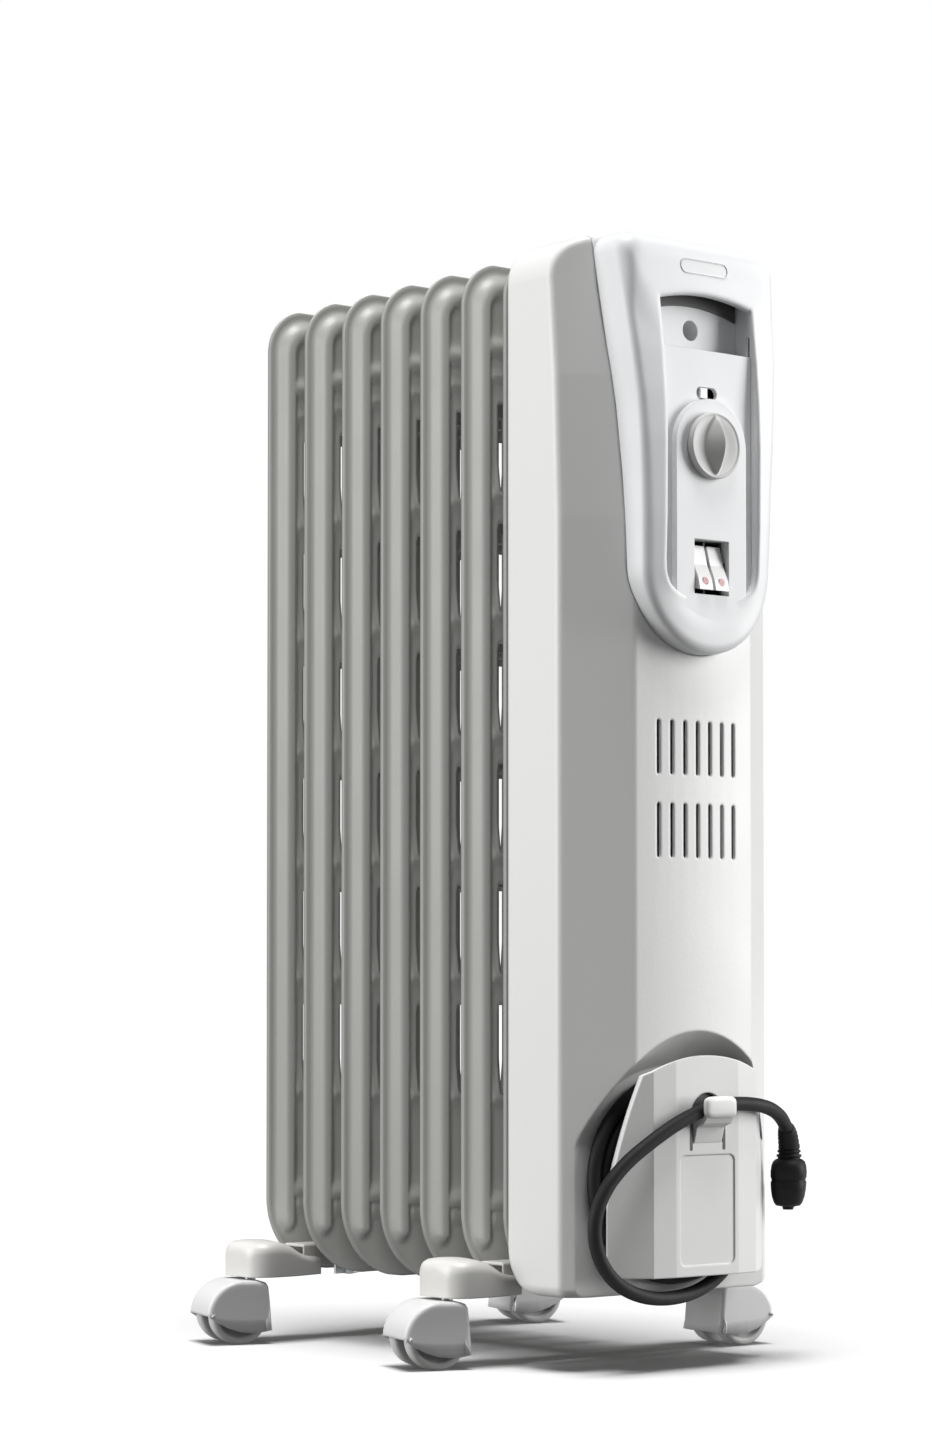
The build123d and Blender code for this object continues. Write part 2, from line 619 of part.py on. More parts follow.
def winder_sheet(thickness):
    """Front cover's bent sheet: a flat middle, a crease each side and a bevel back to the rim."""
    (crease_x, crease_y), (rim_x, rim_y) = COVER_CREASE, COVER_RIM
    outer = [(-rim_x, rim_y), (-crease_x, crease_y), (-24, COVER_FRONT_Y), (24, COVER_FRONT_Y),
             (crease_x, crease_y), (rim_x, rim_y)]
    inner = [(x * (rim_x - 1.5) / rim_x, y + thickness) for x, y in reversed(outer)]
    with BuildPart() as sheet:
        with BuildSketch(Plane.XY.offset(COVER_LOW)):
            with BuildLine():
                Polyline(*outer, *inner, close=True)
            make_face()
        extrude(amount=COVER_HIGH - COVER_LOW)
    return sheet.part


with BuildPart() as winder_cover:
    with BuildSketch(Plane.XZ) as cover_outline:
        with BuildLine():
            Line((-52, COVER_LOW), (52, COVER_LOW))
            Spline((52, COVER_LOW), (58.5, 57), (60.5, 66), tangents=((1, 0), (0, 1)))
            Spline((60.5, 66), (60, 90), (55, 122), (44, 166), tangents=((0, 1), (-0.3, 1)))
            ThreePointArc((44, 166), (0, COVER_HIGH), (-44, 166))
            Spline((-60.5, 66), (-60, 90), (-55, 122), (-44, 166), tangents=((0, 1), (0.3, 1)))
            Spline((-52, COVER_LOW), (-58.5, 57), (-60.5, 66), tangents=((-1, 0), (0, 1)))
        make_face()
    extrude(amount=180)
    add(winder_sheet(COVER_SHEET), mode=Mode.INTERSECT)
    with BuildSketch(Plane.XZ.offset(-COVER_FRONT_Y - 10)):
        with Locations((0, 143)):
            Circle(13)
            Rectangle(40, 26, align=(Align.CENTER, Align.MAX), mode=Mode.SUBTRACT)
        for x in (-11.8, 11.8):
            with Locations((x, 135.5)):
                SlotOverall(16, 2, rotation=90)
    extrude(amount=20, mode=Mode.SUBTRACT)
    with BuildSketch(Plane.XZ.offset(-COVER_FRONT_Y)):
        with Locations((0, 90)):
            RectangleRounded(42, 62, 4)
    extrude(amount=-0.6, mode=Mode.SUBTRACT)
    with BuildSketch(Plane.YZ):
        with BuildLine():
            Polyline(
                (-150.6, 128), (-153.2, 128), (-155.5, 136.5), (-161.2, 138.8), (-164.4, 143.5),
                (-164.4, 152), (-162.2, 152), (-162.0, 144.5), (-159.6, 141.2), (-153.0, 139.2), close=True,
            )
        make_face()
    extrude(amount=10.6, both=True)
save(winder_cover.part, "winder_cover")

with BuildPart() as winder_hub:
    with BuildSketch(Plane.XZ.offset(-RECESS_FLOOR_Y)):
        with Locations((COIL_X, COIL_Z)):
            Ellipse(*HUB_SEMI_AXES)
            Ellipse(HUB_SEMI_AXES[0] - HUB_WALL, HUB_SEMI_AXES[1] - HUB_WALL, mode=Mode.SUBTRACT)
    extrude(amount=RECESS_FLOOR_Y - COVER_FRONT_Y - COVER_SHEET - 0.6)
    with Locations((COIL_X - 5, COIL_Y, COIL_Z - 26)):
        Box(24, 9.4, 14, mode=Mode.SUBTRACT)
    add(winder_sheet(COVER_SHEET), mode=Mode.SUBTRACT)
save(winder_hub.part, "winder_hub")

with BuildPart() as strain_relief:
    with Locations((COIL_X + 10, COIL_Y + 0.6, COIL_Z + 2)):
        Box(15, 8.6, 15)
    relief_start = Vector(COIL_X + 8, COIL_Y, COIL_Z - 3)
    relief_end = Vector(COIL_X - 2, COIL_Y, COIL_Z - 25.0)
    along = relief_end - relief_start
    with BuildSketch(Plane(origin=relief_start, z_dir=along)):
        Circle(4.3)
    with BuildSketch(Plane(origin=relief_end, z_dir=along)):
        Circle(4.1)
    loft()
save(strain_relief.part, "strain_relief")

# ---------------------------------------------------------------- mains lead
# Wound clockwise on the hub, then round the lower left of the cover, over it, behind the tongue and down.
lead_route = [
    (54, COIL_Y, 80), (45, -128.6, 63.5), (30, -131.5, 50.5), (8, -137.5, 43.2), (-17, -144, 40.6),
    (-42, -148.2, 42), (-64, -149.3, 49.5), (-79, -149.8, 64), (-84, -150.2, 83.5), (-77.5, -151, 102),
    (-64, -153, 117), (-46.5, -155.6, 129), (-27, -157.4, 139.8), (-6, -158, 147.4), (14, -158.2, 149.8),
    (32, -157.6, 149), (47, -154.2, 146.6), (60, -149.2, 142.2), (69.5, -144.4, 136.2), (75.8, -140.4, 129.6),
    (79, -138, 121.5),
]
lead, lead_path, lead_radii = tube_along(lead_route, CORD_RADIUS)
save(lead, "power_cord")
print("lead radii", [round(radius) for radius in lead_radii])
print("lead length", round(lead_path.length), "volume ratio", lead.volume / (pi * CORD_RADIUS**2 * lead_path.length))

with BuildPart() as cord_coil:
    for outer, layers in ((COIL_OUTER, 1), (COIL_FRONT_TURN, 2)):
        with BuildSketch(Plane.XZ.offset(-COIL_Y - COIL_LAYER / 2)):
            with Locations((COIL_X, COIL_Z)):
                Ellipse(*outer)
                Ellipse(*COIL_INNER, mode=Mode.SUBTRACT)
        extrude(amount=layers * COIL_LAYER)
save(cord_coil.part, "cord_coil")

# Plug: a moulded body hanging pins-away from the controls, under its own relief.
PLUG_TOP = Vector(79, -138, 121.5)
PLUG_TURN = 41.0
with BuildPart() as power_plug:
    with BuildSketch(Plane.XY.offset(PLUG_TOP.Z)):
        Circle(5.2)
    with BuildSketch(Plane.XY.offset(PLUG_TOP.Z - 12)):
        Circle(6.4)
    loft()
    with BuildSketch(Plane.XY.offset(PLUG_TOP.Z - 11)):
        RectangleRounded(18, 16, 6)
    with BuildSketch(Plane.XY.offset(PLUG_TOP.Z - 24)):
        RectangleRounded(22, 20, 8)
    with BuildSketch(Plane.XY.offset(PLUG_TOP.Z - 37)):
        RectangleRounded(19, 18, 7)
    loft()
plug_place = Location((PLUG_TOP.X, PLUG_TOP.Y, 0), (0, 0, PLUG_TURN))
save(power_plug.part.moved(plug_place), "power_plug")
with BuildPart() as plug_pins:
    with Locations(*[(10.3 + 8.5, y, PLUG_TOP.Z - 22) for y in (-6.35, 6.35)]):
        Box(17, 1.5, 6.3)
    with Locations((10.3, 0, PLUG_TOP.Z - 33)):
        Cylinder(2.4, 19, rotation=(0, 90, 0), align=ON_BASE)
save(plug_pins.part.moved(plug_place), "plug_pins")

# ---------------------------------------------------------------- cross brackets and clamps
BAR_HALF_DEPTH = 10.0
BAR_LOW = 44.0
BAR_HIGH = 58.0
CLAMP_RADIUS = 2.5
CLAMP_X = COLLAR_RADIUS + CLAMP_RADIUS
CLAMP_LOW = 37.5
for y, name in ((BRACKET_FRONT_Y, "bracket_front"), (BRACKET_REAR_Y, "bracket_rear")):
    with BuildPart() as bracket:
        with BuildSketch(Plane.XY.offset(BRACKET_LOW)):
            for side in (-1, 1):
                with Locations((side * (BRACKET_END_X + 80) / 2, y)):
                    RectangleRounded(BRACKET_END_X - 80, 2 * PAD_HALF_DEPTH, 14)
        extrude(amount=BRACKET_HIGH - BRACKET_LOW)
        fillet(bracket.faces().group_by(Axis.Z)[-1].edges(), 5)
        for side in (-1, 1):
            with Locations((side * 75, y, (BRACKET_LOW + 50) / 2)):
                Box(30, 2 * PAD_HALF_DEPTH - 6, 50 - BRACKET_LOW)
        with Locations((0, y, (BAR_LOW + BAR_HIGH) / 2)):
            Box(180, 2 * BAR_HALF_DEPTH, BAR_HIGH - BAR_LOW)
        with Locations((0, y, BAR_HIGH)):
            Box(44, 2 * BAR_HALF_DEPTH, 15, align=ON_BASE)
        with Locations((0, y, HEADER_LOW_Z)):
            Cylinder(COLLAR_RADIUS, 40, rotation=FACING_FRONT, mode=Mode.SUBTRACT)
        with Locations(*[(side * CLAMP_X, y, BAR_HIGH) for side in (-1, 1)]):
            Cylinder(CLAMP_RADIUS, 40, mode=Mode.SUBTRACT)
        with Locations(*[(side * STEM_X, y, BRACKET_LOW) for side in (-1, 1)]):
            Cylinder(STEM_RADIUS, 14, align=ON_BASE, mode=Mode.SUBTRACT)
        for plane_y in fin_planes:
            if abs(plane_y - y) < FIN_PITCH:
                fin_room = panel(
                    FIN_HALF_WIDTH + 1, FIN_LOW - 1, FIN_HIGH, FIN_LOW_RADIUS, FIN_TOP_RADIUS, plane_y
                )
                extrude(fin_room, CHANNEL_HALF_DEPTH + 1, both=True, mode=Mode.SUBTRACT)
    save(bracket.part, name)

with BuildPart() as u_bolts:
    for y in (BRACKET_FRONT_Y, BRACKET_REAR_Y):
        with BuildSketch(Plane.XY.offset(HEADER_LOW_Z)):
            with Locations((CLAMP_X, y)):
                Circle(CLAMP_RADIUS)
        revolve(axis=Axis((0, y, HEADER_LOW_Z), (0, 1, 0)), revolution_arc=-180)
        with Locations(*[(side * CLAMP_X, y, HEADER_LOW_Z) for side in (-1, 1)]):
            Cylinder(CLAMP_RADIUS, HEADER_LOW_Z - CLAMP_LOW, align=(Align.CENTER, Align.CENTER, Align.MAX))
save(u_bolts.part, "u_bolts")

with BuildPart() as wing_nuts:
    for x in (-CLAMP_X, CLAMP_X):
        for y in (BRACKET_FRONT_Y, BRACKET_REAR_Y):
            with Locations((x, y, BAR_LOW - 6)):
                Cylinder(5, 6, align=ON_BASE)
            with Locations(*[(x + side * 7, y, BAR_LOW - 6) for side in (-1, 1)]):
                Box(8, 2, 9, align=ON_BASE)
            with Locations((x, y, BAR_LOW)):
                Cylinder(CLAMP_RADIUS, 30, mode=Mode.SUBTRACT)
            with Locations((x, y, BAR_LOW)):
                Box(24, 4, 6, align=ON_BASE, mode=Mode.SUBTRACT)
save(wing_nuts.part, "wing_nuts")

# ---------------------------------------------------------------- casters
# Built about the swivel axis, trailing along +X with the axle along Y, then turned into place.
HOOD_CENTRE = (CASTER_TRAIL - 0.5, 17.0)
WEB_HALF = 5.0
hood_hollow = HOOD_RADIUS - HOOD_WALL
with BuildPart() as hood:
    with BuildSketch(Plane.XZ):
        with Locations(HOOD_CENTRE):
            Circle(HOOD_RADIUS)
        with BuildLine():
            Polyline((-8.5, 8.5), (-6, 37.8), (CASTER_TRAIL, 38.5), (CASTER_TRAIL, 6), close=True)
        make_face()
        with BuildLine():
            Polyline((-12, 8.5), (-8.5, 8.5), (4, 6.8), (18, 9), (33, 17.5), (40, 17.5), (40, -8), (-12, -8), close=True)
        make_face(mode=Mode.SUBTRACT)
    extrude(amount=HOOD_HALF_WIDTH, both=True)
    with BuildSketch(Plane.XZ):
        with Locations((CASTER_TRAIL, WHEEL_RADIUS)):
            Circle(WHEEL_RADIUS + 1.2)
            Rectangle(2 * WHEEL_RADIUS + 2.4, 30, align=(Align.CENTER, Align.MAX))
    extrude(amount=HOOD_HALF_WIDTH - HOOD_WALL, both=True, mode=Mode.SUBTRACT)
    with BuildSketch(Plane.XZ):
        with BuildLine():
            Polyline((-6, 11), (-4.5, 37), (24, 37), (24, 18), (12, 12), close=True)
        make_face()
    extrude(amount=WEB_HALF, both=True)
    with Locations((0, 0, 5)):
        Cylinder(STEM_RADIUS + RUNNING_CLEARANCE, 40, align=ON_BASE, mode=Mode.SUBTRACT)
    with Locations((CASTER_TRAIL, 0, WHEEL_RADIUS)):
        Cylinder(AXLE_RADIUS, 40, rotation=FACING_FRONT, mode=Mode.SUBTRACT)

with BuildPart() as axle:
    with Locations((CASTER_TRAIL, 0, WHEEL_RADIUS)):
        Cylinder(AXLE_RADIUS, 2 * (HOOD_HALF_WIDTH - 0.2), rotation=FACING_FRONT)

wheel_middle = WHEEL_GAP + WHEEL_WIDTH / 2


def make_wheel(side):
    """One wheel of a twin caster: a rounded tyre with a dished face and a bore that runs on the axle."""
    with BuildPart() as wheel:
        with Locations((CASTER_TRAIL, side * wheel_middle, WHEEL_RADIUS)):
            Cylinder(WHEEL_RADIUS, WHEEL_WIDTH, rotation=FACING_FRONT)
            fillet(wheel.edges(), 1.5)
            Cylinder(AXLE_RADIUS + RUNNING_CLEARANCE, 40, rotation=FACING_FRONT, mode=Mode.SUBTRACT)
    return wheel.part


caster_places = {
    "front_left": (-STEM_X, BRACKET_FRONT_Y, 180 - CASTER_TURN),
    "front_right": (STEM_X, BRACKET_FRONT_Y, -FRONT_RIGHT_TURN),
    "rear_left": (-STEM_X, BRACKET_REAR_Y, 180 - CASTER_TURN),
    "rear_right": (STEM_X, BRACKET_REAR_Y, -CASTER_TURN),
}
for corner, (x, y, turn) in caster_places.items():
    place = Location((x, y, 0), (0, 0, turn))
    save(hood.part.moved(place), f"caster_hood_{corner}")
    save(axle.part.moved(place), f"caster_axle_{corner}")
    save(make_wheel(1).moved(place), f"caster_wheel_a_{corner}")
    save(make_wheel(-1).moved(place), f"caster_wheel_b_{corner}")

with BuildPart() as caster_stems:
    with Locations(*[(x, y, 16) for x, y, turn in caster_places.values()]):
        Cylinder(STEM_RADIUS, BRACKET_LOW + 14 - 16, align=ON_BASE)
save(caster_stems.part, "caster_stems")
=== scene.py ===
"""Looks of an oil filled radiator heater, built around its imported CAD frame.

Metres, +Z up; the controls face -Y and +X is to the right of someone facing them.
"""
import json
import math

import bpy
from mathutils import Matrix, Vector

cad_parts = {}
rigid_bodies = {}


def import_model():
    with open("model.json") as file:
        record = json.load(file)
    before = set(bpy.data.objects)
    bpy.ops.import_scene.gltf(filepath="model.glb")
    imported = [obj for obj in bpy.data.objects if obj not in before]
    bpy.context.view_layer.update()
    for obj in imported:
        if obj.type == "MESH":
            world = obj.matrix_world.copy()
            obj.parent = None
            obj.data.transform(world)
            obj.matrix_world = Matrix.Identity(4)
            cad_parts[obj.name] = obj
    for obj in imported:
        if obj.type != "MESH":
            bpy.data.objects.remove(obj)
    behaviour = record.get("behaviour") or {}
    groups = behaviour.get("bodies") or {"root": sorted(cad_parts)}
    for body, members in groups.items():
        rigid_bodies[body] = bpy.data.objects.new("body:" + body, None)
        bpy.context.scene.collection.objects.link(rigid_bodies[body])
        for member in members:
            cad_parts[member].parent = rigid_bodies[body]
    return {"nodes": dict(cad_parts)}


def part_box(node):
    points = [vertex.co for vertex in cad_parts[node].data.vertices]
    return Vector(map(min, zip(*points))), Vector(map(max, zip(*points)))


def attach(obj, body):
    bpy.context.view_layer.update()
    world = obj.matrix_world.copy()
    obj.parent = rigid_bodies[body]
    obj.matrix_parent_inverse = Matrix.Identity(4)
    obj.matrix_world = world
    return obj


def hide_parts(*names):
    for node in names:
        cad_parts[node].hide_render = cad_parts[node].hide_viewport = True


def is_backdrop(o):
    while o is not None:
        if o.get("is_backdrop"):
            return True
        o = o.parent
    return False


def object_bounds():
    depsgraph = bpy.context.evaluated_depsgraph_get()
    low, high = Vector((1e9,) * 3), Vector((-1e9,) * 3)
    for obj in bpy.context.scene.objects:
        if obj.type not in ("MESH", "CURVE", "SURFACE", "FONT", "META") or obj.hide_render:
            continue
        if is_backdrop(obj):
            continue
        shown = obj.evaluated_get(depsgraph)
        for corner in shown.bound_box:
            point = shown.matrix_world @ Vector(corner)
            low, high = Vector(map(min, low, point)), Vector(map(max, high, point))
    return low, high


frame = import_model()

scene = bpy.context.scene
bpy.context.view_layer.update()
MM = 0.001


# ---------------------------------------------------------------- camera
camera_data = bpy.data.cameras.new("camera")
camera_data.sensor_width = 36.0
camera_data.lens = 89.26
camera_data.shift_y = 0.0944
camera = bpy.data.objects.new("camera", camera_data)
camera.location = (-1.38665, -1.62635, 0.21443)
camera.rotation_euler = (math.radians(92.134), 0.0, math.radians(-39.40))
scene.collection.objects.link(camera)
scene.camera = camera


# ---------------------------------------------------------------- materials
def linear(hex_colour):
    """Linear RGBA of an sRGB hex colour."""
    parts = [int(hex_colour[i:i + 2], 16) / 255 for i in (0, 2, 4)]
    return tuple((c / 12.92 if c <= 0.04045 else ((c + 0.055) / 1.055) ** 2.4) for c in parts) + (1.0,)


def scaled(colour, factor):
    """Colour made lighter or darker."""
    return tuple(min(1.0, c * factor) for c in colour[:3]) + (1.0,)


def surface(name, hex_colour, roughness, grain=900.0, bump=0.02, mottle=0.03, spread=9.0, edge=0.0,
            coat=0.0, metallic=0.0, specular=0.5):
    """Material with cloudy colour and gloss, a fine relief, and optionally softened edges."""
    material = bpy.data.materials.new(name)
    material.use_nodes = True
    tree = material.node_tree
    nodes, links = tree.nodes, tree.links
    shader = nodes["Principled BSDF"]
    shader.inputs["Metallic"].default_value = metallic
    shader.inputs["Specular IOR Level"].default_value = specular
    shader.inputs["Coat Weight"].default_value = coat
    shader.inputs["Coat Roughness"].default_value = 0.25
    place = nodes.new("ShaderNodeTexCoord")

    def noise(scale, detail):
        made = nodes.new("ShaderNodeTexNoise")
        made.inputs["Scale"].default_value = scale
        made.inputs["Detail"].default_value = detail
        links.new(place.outputs["Object"], made.inputs["Vector"])
        return made

    base = linear(hex_colour)
    cloud = noise(spread, 4.0)
    ramp = nodes.new("ShaderNodeValToRGB")
    ramp.color_ramp.elements[0].position = 0.3
    ramp.color_ramp.elements[0].color = scaled(base, 1.0 - mottle)
    ramp.color_ramp.elements[1].position = 0.7
    ramp.color_ramp.elements[1].color = scaled(base, 1.0 + mottle)
    links.new(cloud.outputs["Fac"], ramp.inputs["Fac"])
    links.new(ramp.outputs["Color"], shader.inputs["Base Color"])
    gloss = nodes.new("ShaderNodeMapRange")
    gloss.inputs["To Min"].default_value = max(0.02, roughness - 0.06)
    gloss.inputs["To Max"].default_value = min(1.0, roughness + 0.06)
    links.new(noise(spread * 5.0, 3.0).outputs["Fac"], gloss.inputs["Value"])
    links.new(gloss.outputs["Result"], shader.inputs["Roughness"])
    relief = nodes.new("ShaderNodeBump")
    relief.inputs["Strength"].default_value = bump
    relief.inputs["Distance"].default_value = 0.0006
    links.new(noise(grain, 2.0).outputs["Fac"], relief.inputs["Height"])
    if edge:
        soften = nodes.new("ShaderNodeBevel")
        soften.samples = 6
        soften.inputs["Radius"].default_value = edge
        links.new(soften.outputs["Normal"], relief.inputs["Normal"])
    links.new(relief.outputs["Normal"], shader.inputs["Normal"])
    return material


fin_paint = surface("fin_paint", "A2A29F", 0.36, grain=420, bump=0.10, mottle=0.025, spread=5)
header_paint = surface("header_paint", "979794", 0.40, grain=420, bump=0.10, edge=0.0015)
casing_paint = surface("casing_paint", "DCDCDB", 0.40, grain=520, bump=0.08, mottle=0.012, spread=3,
                       edge=0.0022)
bezel_plastic = surface("bezel_plastic", "DADBDC", 0.42, grain=1500, bump=0.06, mottle=0.012, edge=0.0035)
plate_plastic = surface("plate_plastic", "DEDFE0", 0.45, grain=1500, bump=0.06, mottle=0.012, edge=0.0008)
knob_plastic = surface("knob_plastic", "C4C4C3", 0.42, grain=1500, bump=0.06, mottle=0.015, edge=0.0008)
rocker_plastic = surface("rocker_plastic", "E2E2E1", 0.28, grain=1800, bump=0.03, mottle=0.01, edge=0.0006)
red_lens = surface("red_lens", "9C1420", 0.18, grain=2500, bump=0.03, mottle=0.08, spread=300, coat=0.5)
# Dark plastic of the switch and thermostat bodies; also painted shade on the sheet behind the winder cover.
dark_plastic = surface("dark_plastic", "222224", 0.5, grain=1400, bump=0.10, mottle=0.08, edge=0.0005)
zinc = surface("zinc", "B4B7BA", 0.34, grain=700, bump=0.10, mottle=0.06, spread=40, metallic=1.0,
               edge=0.0004)
brass = surface("brass", "B99C58", 0.30, grain=900, bump=0.06, mottle=0.06, spread=40, metallic=1.0,
                edge=0.0004)
tube_steel = surface("tube_steel", "85878A", 0.38, grain=700, bump=0.12, mottle=0.10, spread=60,
                     metallic=1.0)
wire_rubber = surface("wire_rubber", "39393B", 0.55, grain=1200, bump=0.12, mottle=0.10)
winder_plastic = surface("winder_plastic", "D9D9D8", 0.44, grain=1500, bump=0.06, mottle=0.012, edge=0.0012)
lead_rubber = surface("lead_rubber", "151516", 0.6, grain=900, bump=0.14, mottle=0.10, spread=60,
                      specular=0.22)
plug_rubber = surface("plug_rubber", "101011", 0.6, grain=1100, bump=0.16, mottle=0.10, spread=60,
                      specular=0.22)
bracket_paint = surface("bracket_paint", "D3D2CF", 0.36, grain=520, bump=0.08, mottle=0.012, edge=0.0014)
caster_plastic = surface("caster_plastic", "D0D0D0", 0.40, grain=1500, bump=0.06, mottle=0.015)
wheel_plastic = surface("wheel_plastic", "BEBEBD", 0.44, grain=1500, bump=0.08, mottle=0.03)
# Dark grey painted shade, for the caster webs, the grip's hollow and the strips over the winder slots.
shadow_plastic = surface("shadow_plastic", "3A3A3B", 0.55, grain=1400, bump=0.10, mottle=0.08)


# ---------------------------------------------------------------- mesh tools
def add_piece(name, verts, faces, body, material, slot, smooth=True, replaces=()):
    """Mesh object from points in millimetres, riding on a body."""
    mesh = bpy.data.meshes.new(name)
    mesh.from_pydata([tuple(c * MM for c in v) for v in verts], [], faces)
    mesh.validate()
    mesh.update()
    for polygon in mesh.polygons:
        polygon.use_smooth = smooth
    mesh.materials.append(material)
    piece = bpy.data.objects.new(name, mesh)
    scene.collection.objects.link(piece)
    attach(piece, body)
    if replaces:
        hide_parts(*replaces)
    return piece


def grid_faces(rows, columns, closed_rows=False, closed_columns=False):
    """Quads over a rows by columns grid of points, numbered row by row."""
    faces = []
    for i in range(rows if closed_rows else rows - 1):
        for j in range(columns if closed_columns else columns - 1):
            a, b = i, (i + 1) % rows
            c, d = j, (j + 1) % columns
            faces.append(tuple(r * columns + s for r, s in ((a, c), (a, d), (b, d), (b, c))))
    return faces


def loft(sections):
    """Points and faces of a closed, capped skin through sections of equal point count."""
    count = len(sections[0])
    verts = [p for section in sections for p in section]
    faces = grid_faces(len(sections), count, closed_columns=True)
    faces.append(tuple(reversed(range(count))))
    faces.append(tuple(range(len(verts) - count, len(verts))))
    return verts, faces


def soften_edges(piece, width):
    """Round a piece's sharper edges to a width in millimetres."""
    bevel = piece.modifiers.new("soft_edges", "BEVEL")
    bevel.width = width * MM
    bevel.segments = 3
    bevel.limit_method = "ANGLE"
    bevel.angle_limit = math.radians(35)
    bevel.harden_normals = True


def smoothstep(low, high, value):
    """0 below low, 1 above high, and a smooth rise between."""
    t = min(1.0, max(0.0, (value - low) / (high - low)))
    return t * t * (3 - 2 * t)


def along_line(table, value):
    """Value read off a table of (place, value) pairs, straight between them."""
    for (v0, r0), (v1, r1) in zip(table, table[1:]):
        if value <= v1:
            share = max(0.0, (value - v0) / (v1 - v0))
            return r0 + share * (r1 - r0)
    return table[-1][1]


# ---------------------------------------------------------------- mains lead
CORD_RADIUS = 4.0
COIL_CENTRE = (-2.0, 107.0)
COIL_Y = -127.6
INNER_TURN = (36.5, 31.5)
TURN_PITCH = 8.5
LAYER = 8.4
STEPS_PER_TURN = 18
FIRST_ANGLE = -97.0
LAST_ANGLE = -27.7 - 5 * 360
relief_mouth = Vector((-4.0, COIL_Y, 82.0))
lead_route = [
    (54, COIL_Y, 80), (45, -128.6, 63.5), (30, -131.5, 50.5), (8, -137.5, 43.2), (-17, -144, 40.6),
    (-42, -148.2, 42), (-64, -149.3, 49.5), (-79, -149.8, 64), (-84, -150.2, 83.5), (-77.5, -151, 102),
    (-64, -153, 117), (-46.5, -155.6, 129), (-27, -157.4, 139.8), (-6, -158, 147.4), (14, -158.2, 149.8),
    (32, -157.6, 149), (47, -154.2, 146.6), (60, -149.2, 142.2), (69.5, -144.4, 136.2),
    (75.8, -140.4, 129.6), (79, -138, 121.5),
]


def coil_points():
    """Turns of the wound lead: the first two one in front of the other, the rest outside them."""
    points = []
    count = round((FIRST_ANGLE - LAST_ANGLE) / 360 * STEPS_PER_TURN)
    for i in range(1, count):
        turned = (FIRST_ANGLE - LAST_ANGLE) / 360 * i / count
        angle = math.radians(FIRST_ANGLE - 360 * turned)
        out = -6.5 * (1 - smoothstep(0.0, 0.45, turned))
        out += TURN_PITCH * sum(smoothstep(step, step + 0.17, turned) for step in (1.7, 2.7, 3.7))
        forward = LAYER * (smoothstep(0.8, 1.0, turned) - smoothstep(1.7, 1.87, turned))
        x = COIL_CENTRE[0] + (INNER_TURN[0] + out) * math.cos(angle)
        z = COIL_CENTRE[1] + (INNER_TURN[1] + out) * math.sin(angle)
        points.append((x, COIL_Y - forward, z))
    return points


cord_line = bpy.data.curves.new("mains_lead", "CURVE")
cord_line.dimensions = "3D"
cord_line.bevel_depth = CORD_RADIUS * MM
cord_line.bevel_resolution = 6
cord_line.resolution_u = 10
cord_line.use_fill_caps = True
lead_points = [tuple(relief_mouth)] + coil_points() + lead_route
spline = cord_line.splines.new("NURBS")
spline.points.add(len(lead_points) - 1)
for point, place in zip(spline.points, lead_points):
    point.co = (*[c * MM for c in place], 1.0)
spline.order_u = 3
spline.use_endpoint_u = True
cord_line.materials.append(lead_rubber)
mains_lead = bpy.data.objects.new("mains_lead", cord_line)
scene.collection.objects.link(mains_lead)
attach(mains_lead, "heater")
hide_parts("power_cord", "cord_coil")


def turned_section(centre, x_axis, y_axis, half_x, half_y, power, count):
    """Superellipse of points about a centre, in the plane of two unit vectors."""
    points = []
    for i in range(count):
        angle = 2 * math.pi * i / count
        c, d = math.cos(angle), math.sin(angle)
        u = half_x * math.copysign(abs(c) ** (2 / power), c)
        v = half_y * math.copysign(abs(d) ** (2 / power), d)
        points.append(tuple(centre + x_axis * u + y_axis * v))
    return points


# Strain relief: a tapered sleeve with rings, from its gland down to the start of the winding.
relief_root = Vector((6.0, COIL_Y, 104.0))
relief_along = (relief_mouth - relief_root).normalized()
relief_side = Vector((0, 1, 0))
relief_cross = relief_along.cross(relief_side)
relief_length = (relief_mouth - relief_root).length
RING_GROOVE = 0.55
relief_profile = [(0.0, 2.0), (0.0, 4.9)]
for ring in range(6):
    at = 0.1 + 0.14 * ring
    wide = 4.95 - 0.09 * ring
    relief_profile += [(at, wide), (at + 0.02, wide - RING_GROOVE), (at + 0.06, wide - RING_GROOVE),
                       (at + 0.08, wide)]
relief_profile += [(0.97, 4.45), (1.0, 4.2), (1.0, 2.0)]
relief_sections = [
    turned_section(relief_root + relief_along * (at * relief_length), relief_side, relief_cross,
                   wide, wide, 2, 28)
    for at, wide in relief_profile
]
add_piece("relief_sleeve", *loft(relief_sections), "heater", plug_rubber, "lead_rubber")

